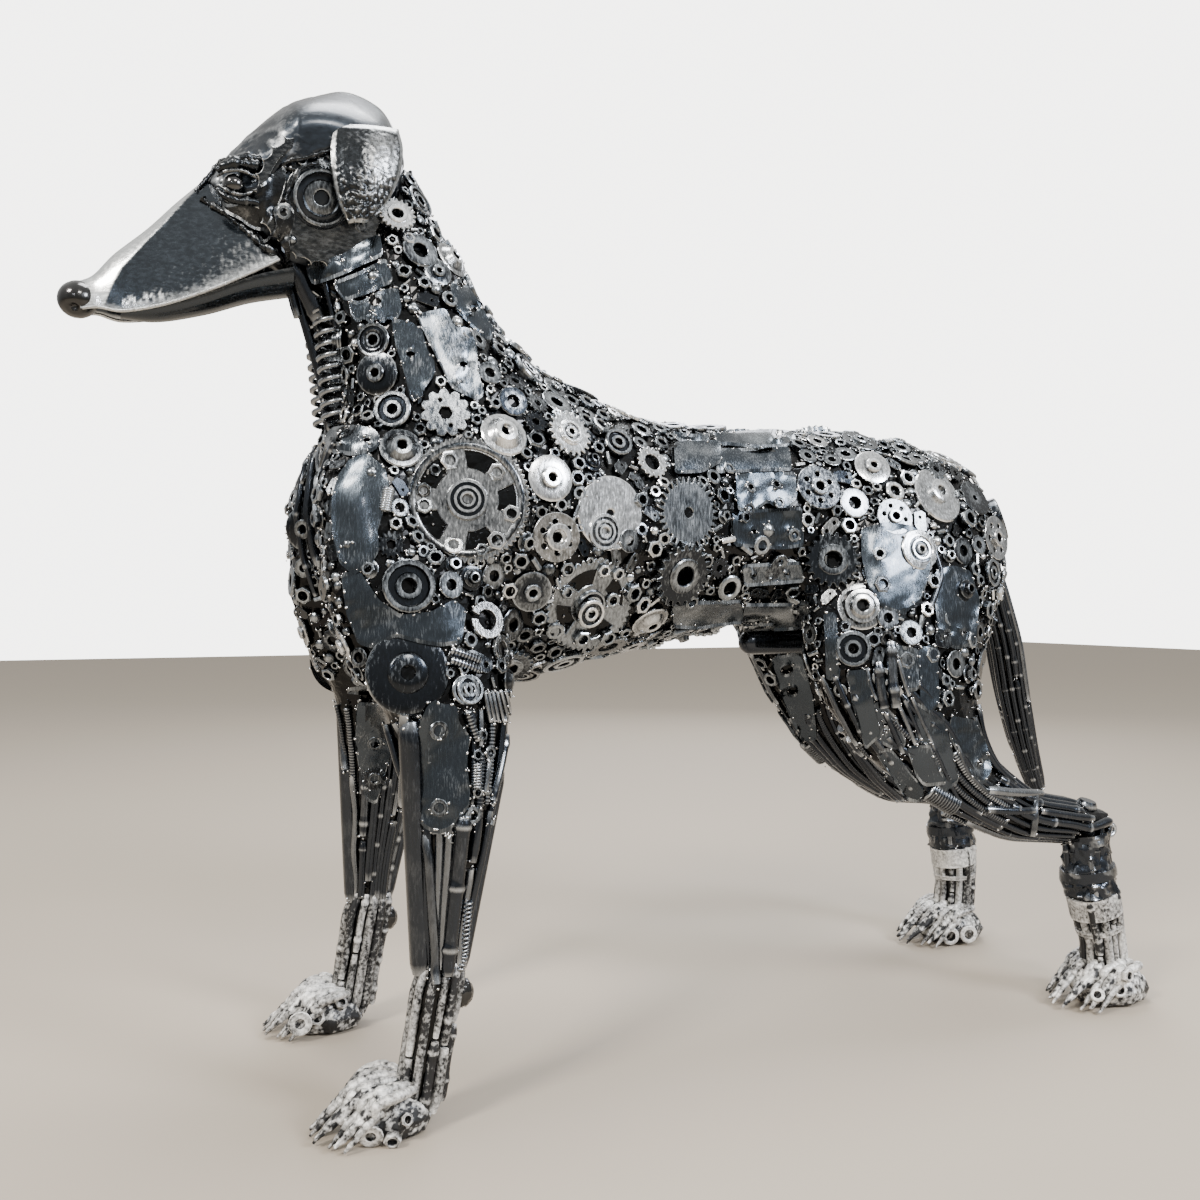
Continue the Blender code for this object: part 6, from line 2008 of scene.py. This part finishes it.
# Pasterns and paws: bar, bent rod and lumps of weld, hammered, then dry-brushed like the
# lower half of each metatarsus. The toes are runs of weld, each with a claw at its tip.
PAWS = {
    # heel, toe, height, spread, in metres
    "front_paw": (-0.2689, -0.3895, 0.047, 0.040),
    "hind_paw": (0.5818, 0.4389, 0.052, 0.042),
}
STANCE = 0.137
PAD_VOXEL = 0.0030
TOE_SPOTS = (-0.88, -0.53, -0.18, 0.18, 0.53, 0.88)   # across a paw, as shares of its spread
TOE, TOE_SHINE = (3.2, 4.5, 4.7, 3.6), 0.78
CLAW, CLAW_SHINE = (4.2, 3.6, 2.6, 1.2), 0.60
paw_tree_parts = bmesh.new()
for base, (heel, toe, height, spread) in PAWS.items():
    for side, sign in (("left", -1), ("right", 1)):
        slide = min(v.co.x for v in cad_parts[f"{base}_{side}"].data.vertices) - toe
        pad = fused_form([f"{base}_{side}"], PAD_VOXEL, 2)
        paw_tree_parts.from_mesh(pad)
        pad = run_tree(object_of(f"{base}_pad_{side}", pad), slag_tree, Sink=0.0010,
                       Lumps=0.0050, Grain=150.0, Finish=white_brushed)
        for vert in pad.vertices:
            vert.co.z = max(vert.co.z, 0.0)
        mark(pad, "bright", "FLOAT", [0.60 + 0.3 * max(v.normal.z, 0) ** 2
                                      + 1.1 * lumps(v.co, 0.006) for v in pad.vertices])
        shaded(pad, 70)
        add_piece(f"{base}_mass_{side}", pad, None, "whitened_steel", f"{base}_{side}")
        lines = []
        middle = STANCE * sign
        for k, share in enumerate(TOE_SPOTS):
            y = middle + spread * share
            length = heel - toe
            reach = 1.0 - 0.24 * abs(share)
            knuckle = heel - length * 0.62 * reach
            tip = heel - length * reach
            crown = height * (0.92 - 0.06 * abs(share))
            path = [Vector((heel - length * 0.26, y * 0.45 + middle * 0.55, crown * 0.92)),
                    Vector((knuckle + length * 0.10, y, crown + 0.002)),
                    Vector((knuckle - length * 0.08, y, crown * 0.90)),
                    Vector((tip + length * 0.20, y, height * 0.58))]
            claw = [Vector((tip + length * 0.26, y, height * 0.66)),
                    Vector((tip + length * 0.14, y, height * 0.46)),
                    Vector((tip + length * 0.05, y, height * 0.22)),
                    Vector((tip - 0.002, y, 0.0030))]
            for run, wide, shine, rough in ((path, TOE, TOE_SHINE, 0.10),
                                            (claw, CLAW, CLAW_SHINE, 0.06)):
                lines.append(weld_line([p + Vector((slide, 0, 0)) for p in run],
                                       [w / 1000 for w in wide], shine, 0.1, k * 1.7, rough))
        lines_object(f"{base}_toes_{side}", lines, white_brushed, "whitened_steel", 10)

paw_tree = BVHTree.FromBMesh(paw_tree_parts)
paw_tree_parts.free()
PASTERN_AXIS = [(-0.269, -0.137, 0.145), (-0.274, -0.137, 0.109), (-0.283, -0.137, 0.057),
                (-0.288, -0.137, 0.030), (-0.2895, -0.137, 0.012)]
FOOT_AXIS = [(0.501, -0.137, 0.130), (0.511, -0.137, 0.095), (0.518, -0.137, 0.066),
             (0.521, -0.137, 0.040)]
FOOT_SETBACK = (.029, .024, .018, .011)
for side in SIDES:
    lines = []
    for rough_axis, setback, number in ((PASTERN_AXIS, None, 11), (FOOT_AXIS, FOOT_SETBACK, 13)):
        axis = side_axis(rough_axis, side, setback, 0.006)
        lines += wrap_limb(axis, 0.0, 1.0, number, (3.0, 5.4), ("plain", "plain", "collared"),
                           (-0.05, 0.15, 0.35))
    lines_object("pastern_bars_" + side, lines, white_brushed, "whitened_steel", 8)


# Each metatarsus: a lumpy dark casting with a strap round it above, and below that a broad
# smooth band and a thin one, where the white begins.
SLEEVE_REACH = 0.05                # farther from the limb's axis is another limb
SLEEVE_STEP = 0.003


def sleeve(axis, low, high, stand, shine, rough, sides=40):
    """A tube slipped over a limb between two heights, lumpy by rough metres."""
    k = min(range(1, len(axis) - 1), key=lambda j: abs(axis[j].z - (low + high) / 2))
    ahead = (axis[k + 1] - axis[k - 1]).normalized()
    ways = spokes(ahead, sides)
    steps = max(int((high - low) / SLEEVE_STEP), 3)
    rings, shines = [], []
    for step in range(-1, steps + 2):
        part = min(max(step / steps, 0), 1)
        middle = axis[k] + ahead * ((low + (high - low) * part - axis[k].z) / ahead.z)
        hits = [form_tree.ray_cast(middle, way, SLEEVE_REACH)[3] or 0.02 for way in ways]
        edge = 0.2 if step in (-1, steps + 1) else 1.0
        ring, shine_row = [], []
        for j, way in enumerate(ways):
            reach = (hits[j - 2] + hits[j - 1] + hits[j] + hits[(j + 1) % sides]
                     + hits[(j + 2) % sides]) / 5
            bump = lumps(middle + way * reach, 0.010)
            ring.append(middle + way * (reach + edge * (stand + rough * bump)))
            shine_row.append(shine + (0.8 * bump if rough else 0.25 * (step in (0, steps))))
        rings.append(ring)
        shines.append(shine_row)
    return loft(rings, shines, 40)


SLEEVES = (
    # name, height of its lower and upper edge, how far it stands off in mm, brightness,
    # lumps in mm
    ("dark", 0.126, 0.196, 4.4, 0.20, 4.6), ("dark", 0.145, 0.156, 7.2, 0.30, 1.2),
    ("white", 0.102, 0.126, 5.0, 0.85, 0.0), ("white", 0.083, 0.088, 4.4, 0.75, 0.0),
)
for side in SIDES:
    axis = side_axis(HOCK_AXIS, side, HOCK_SETBACK, 0.006)
    for label, finish, slot in (("dark", leg_steel, "gunmetal"),
                                ("white", white_brushed, "whitened_steel")):
        made = stacked(*[sleeve(axis, low, high, stand / 1000, shine, rough / 1000)
                         for kind, low, high, stand, shine, rough in SLEEVES if kind == label])
        mark(made, "tone", "FLOAT", [-0.10 if label == "dark" else 0.1] * len(made.vertices))
        add_piece(f"{label}_sleeves_{side}", made, finish, slot)

# Under the loin a thick round bar with a rounded end stands out ahead of the thighs. It is
# left as it was, with a dark oily skin, where all the rest is welded or ground.
BAR_SIDES = 40
bar_points = [v.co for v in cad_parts["belly_bar"].data.vertices]
bar_low = Vector([min(p[k] for p in bar_points) for k in range(3)])
bar_high = Vector([max(p[k] for p in bar_points) for k in range(3)])
bar_reach = (bar_high.z - bar_low.z) / 2
bar_middle = (bar_low + bar_high) / 2
rings, shines = [], []
ends = [(bar_low.x + bar_reach * (1 - math.cos(turn)), math.sin(turn))
        for turn in (0.12, 0.35, 0.65, 1.0, 1.3, math.pi / 2)]
for x, share in ends + [(bar_high.x, 1.0)]:
    rings.append([Vector((x, bar_middle.y + bar_reach * share * math.cos(turn),
                          bar_middle.z + bar_reach * share * math.sin(turn)))
                  for turn in (2 * math.pi * j / BAR_SIDES for j in range(BAR_SIDES))])
    shines.append([-0.15 + 0.15 * lumps(p, 0.02) for p in rings[-1]])
bar = loft(rings, shines, 60)
mark(bar, "tone", "FLOAT", [-0.2] * len(bar.vertices))
add_piece("belly_bar_detail", bar, leg_steel, "gunmetal", "belly_bar")

# Small fittings behind the legs: a black enamelled knob low on each foreleg, and on each
# hock the closed end of its tube with an eye loop below it.
KNOB_SPOT = (461, 992, 0.0105)     # pixels, then the knob's radius in metres
LOOP_SPOT, LOOP_REACH, LOOP_WIRE = (1104, 829), 0.0072, 0.0026
CAP_SPOT, CAP_REACH = (1086, 806), 0.0115
for side, sign in (("left", 1), ("right", -1)):
    seen = on_plane(*KNOB_SPOT[:2], -STANCE)
    near, outward, _, _ = form_tree.find_nearest(Vector((seen.x, seen.y * sign, seen.z)))
    knob = ball(near + outward * KNOB_SPOT[2] * 0.4, KNOB_SPOT[2], 1.2,
                shape=lambda way: 1 + 0.12 * lumps(way, 0.45))
    add_piece("foreleg_knob_" + side, knob, gloss_black, "black_glass")
    setback = 0.0 if side == "left" else HOCK_SETBACK[0]
    seen = on_plane(*LOOP_SPOT, -STANCE)
    near, outward, _, _ = form_tree.find_nearest(Vector((seen.x + setback, seen.y * sign, seen.z)))
    middle = near + outward * LOOP_REACH * 1.2
    loop = [(middle + Vector((math.cos(t) * 1.35, 0, math.sin(t))) * LOOP_REACH, LOOP_WIRE, 0.8,
             0.3) for t in (2 * math.pi * k / 16 for k in range(18))]
    seen = on_plane(*CAP_SPOT, -STANCE)
    near, outward, _, _ = form_tree.find_nearest(Vector((seen.x + setback, seen.y * sign, seen.z)))
    tube = [(near + outward * (0.004 * k - 0.006), CAP_REACH * wide, shine, 0.0)
            for k, (wide, shine) in enumerate(((0.9, 0.2), (1.0, 0.4), (1.0, 0.9), (0.8, 0.3)))]
    lines_object("hock_fittings_" + side, [loop, tube], leg_steel, "gunmetal", 14)

# Washers and nuts welded on the paws, in pixels of the photograph like the rest of the
# scrap, and brushed with the same white.
PAW_SCRAP = (
    (371, 1134, 13, "washer", "b", 2), (393, 1136, 9, "nut", "b", 2), (349, 1122, 8, "nut", "m", 1),
    (949, 935, 9, "ring", "b", 2), (967, 933, 9, "ring", "b", 2), (300, 1023, 12, "washer", "b", 2),
    (318, 1018, 8, "nut", "b", 1), (1117, 990, 8, "nut", "b", 1), (1098, 996, 7, "ring", "b", 1),
    (405, 1120, 7, "nut", "m", 1), (1125, 975, 7, "nut", "m", 1), (340, 1005, 7, "nut", "m", 1),
)
items = []
for px, py, pixels, kind, tone, lift in PAW_SCRAP:
    hit, outward = seen_at(px, py, paw_tree)
    if hit is not None:
        items.append((hit, outward, pixels * depth_of(hit) / FOCAL_PIXELS, KIND[kind], TONES[tone],
                      draw.uniform(0, 6), (lift + 1) / 1000))
lay_stock("paw_washers_and_nuts", items, white_brushed, "whitened_steel")
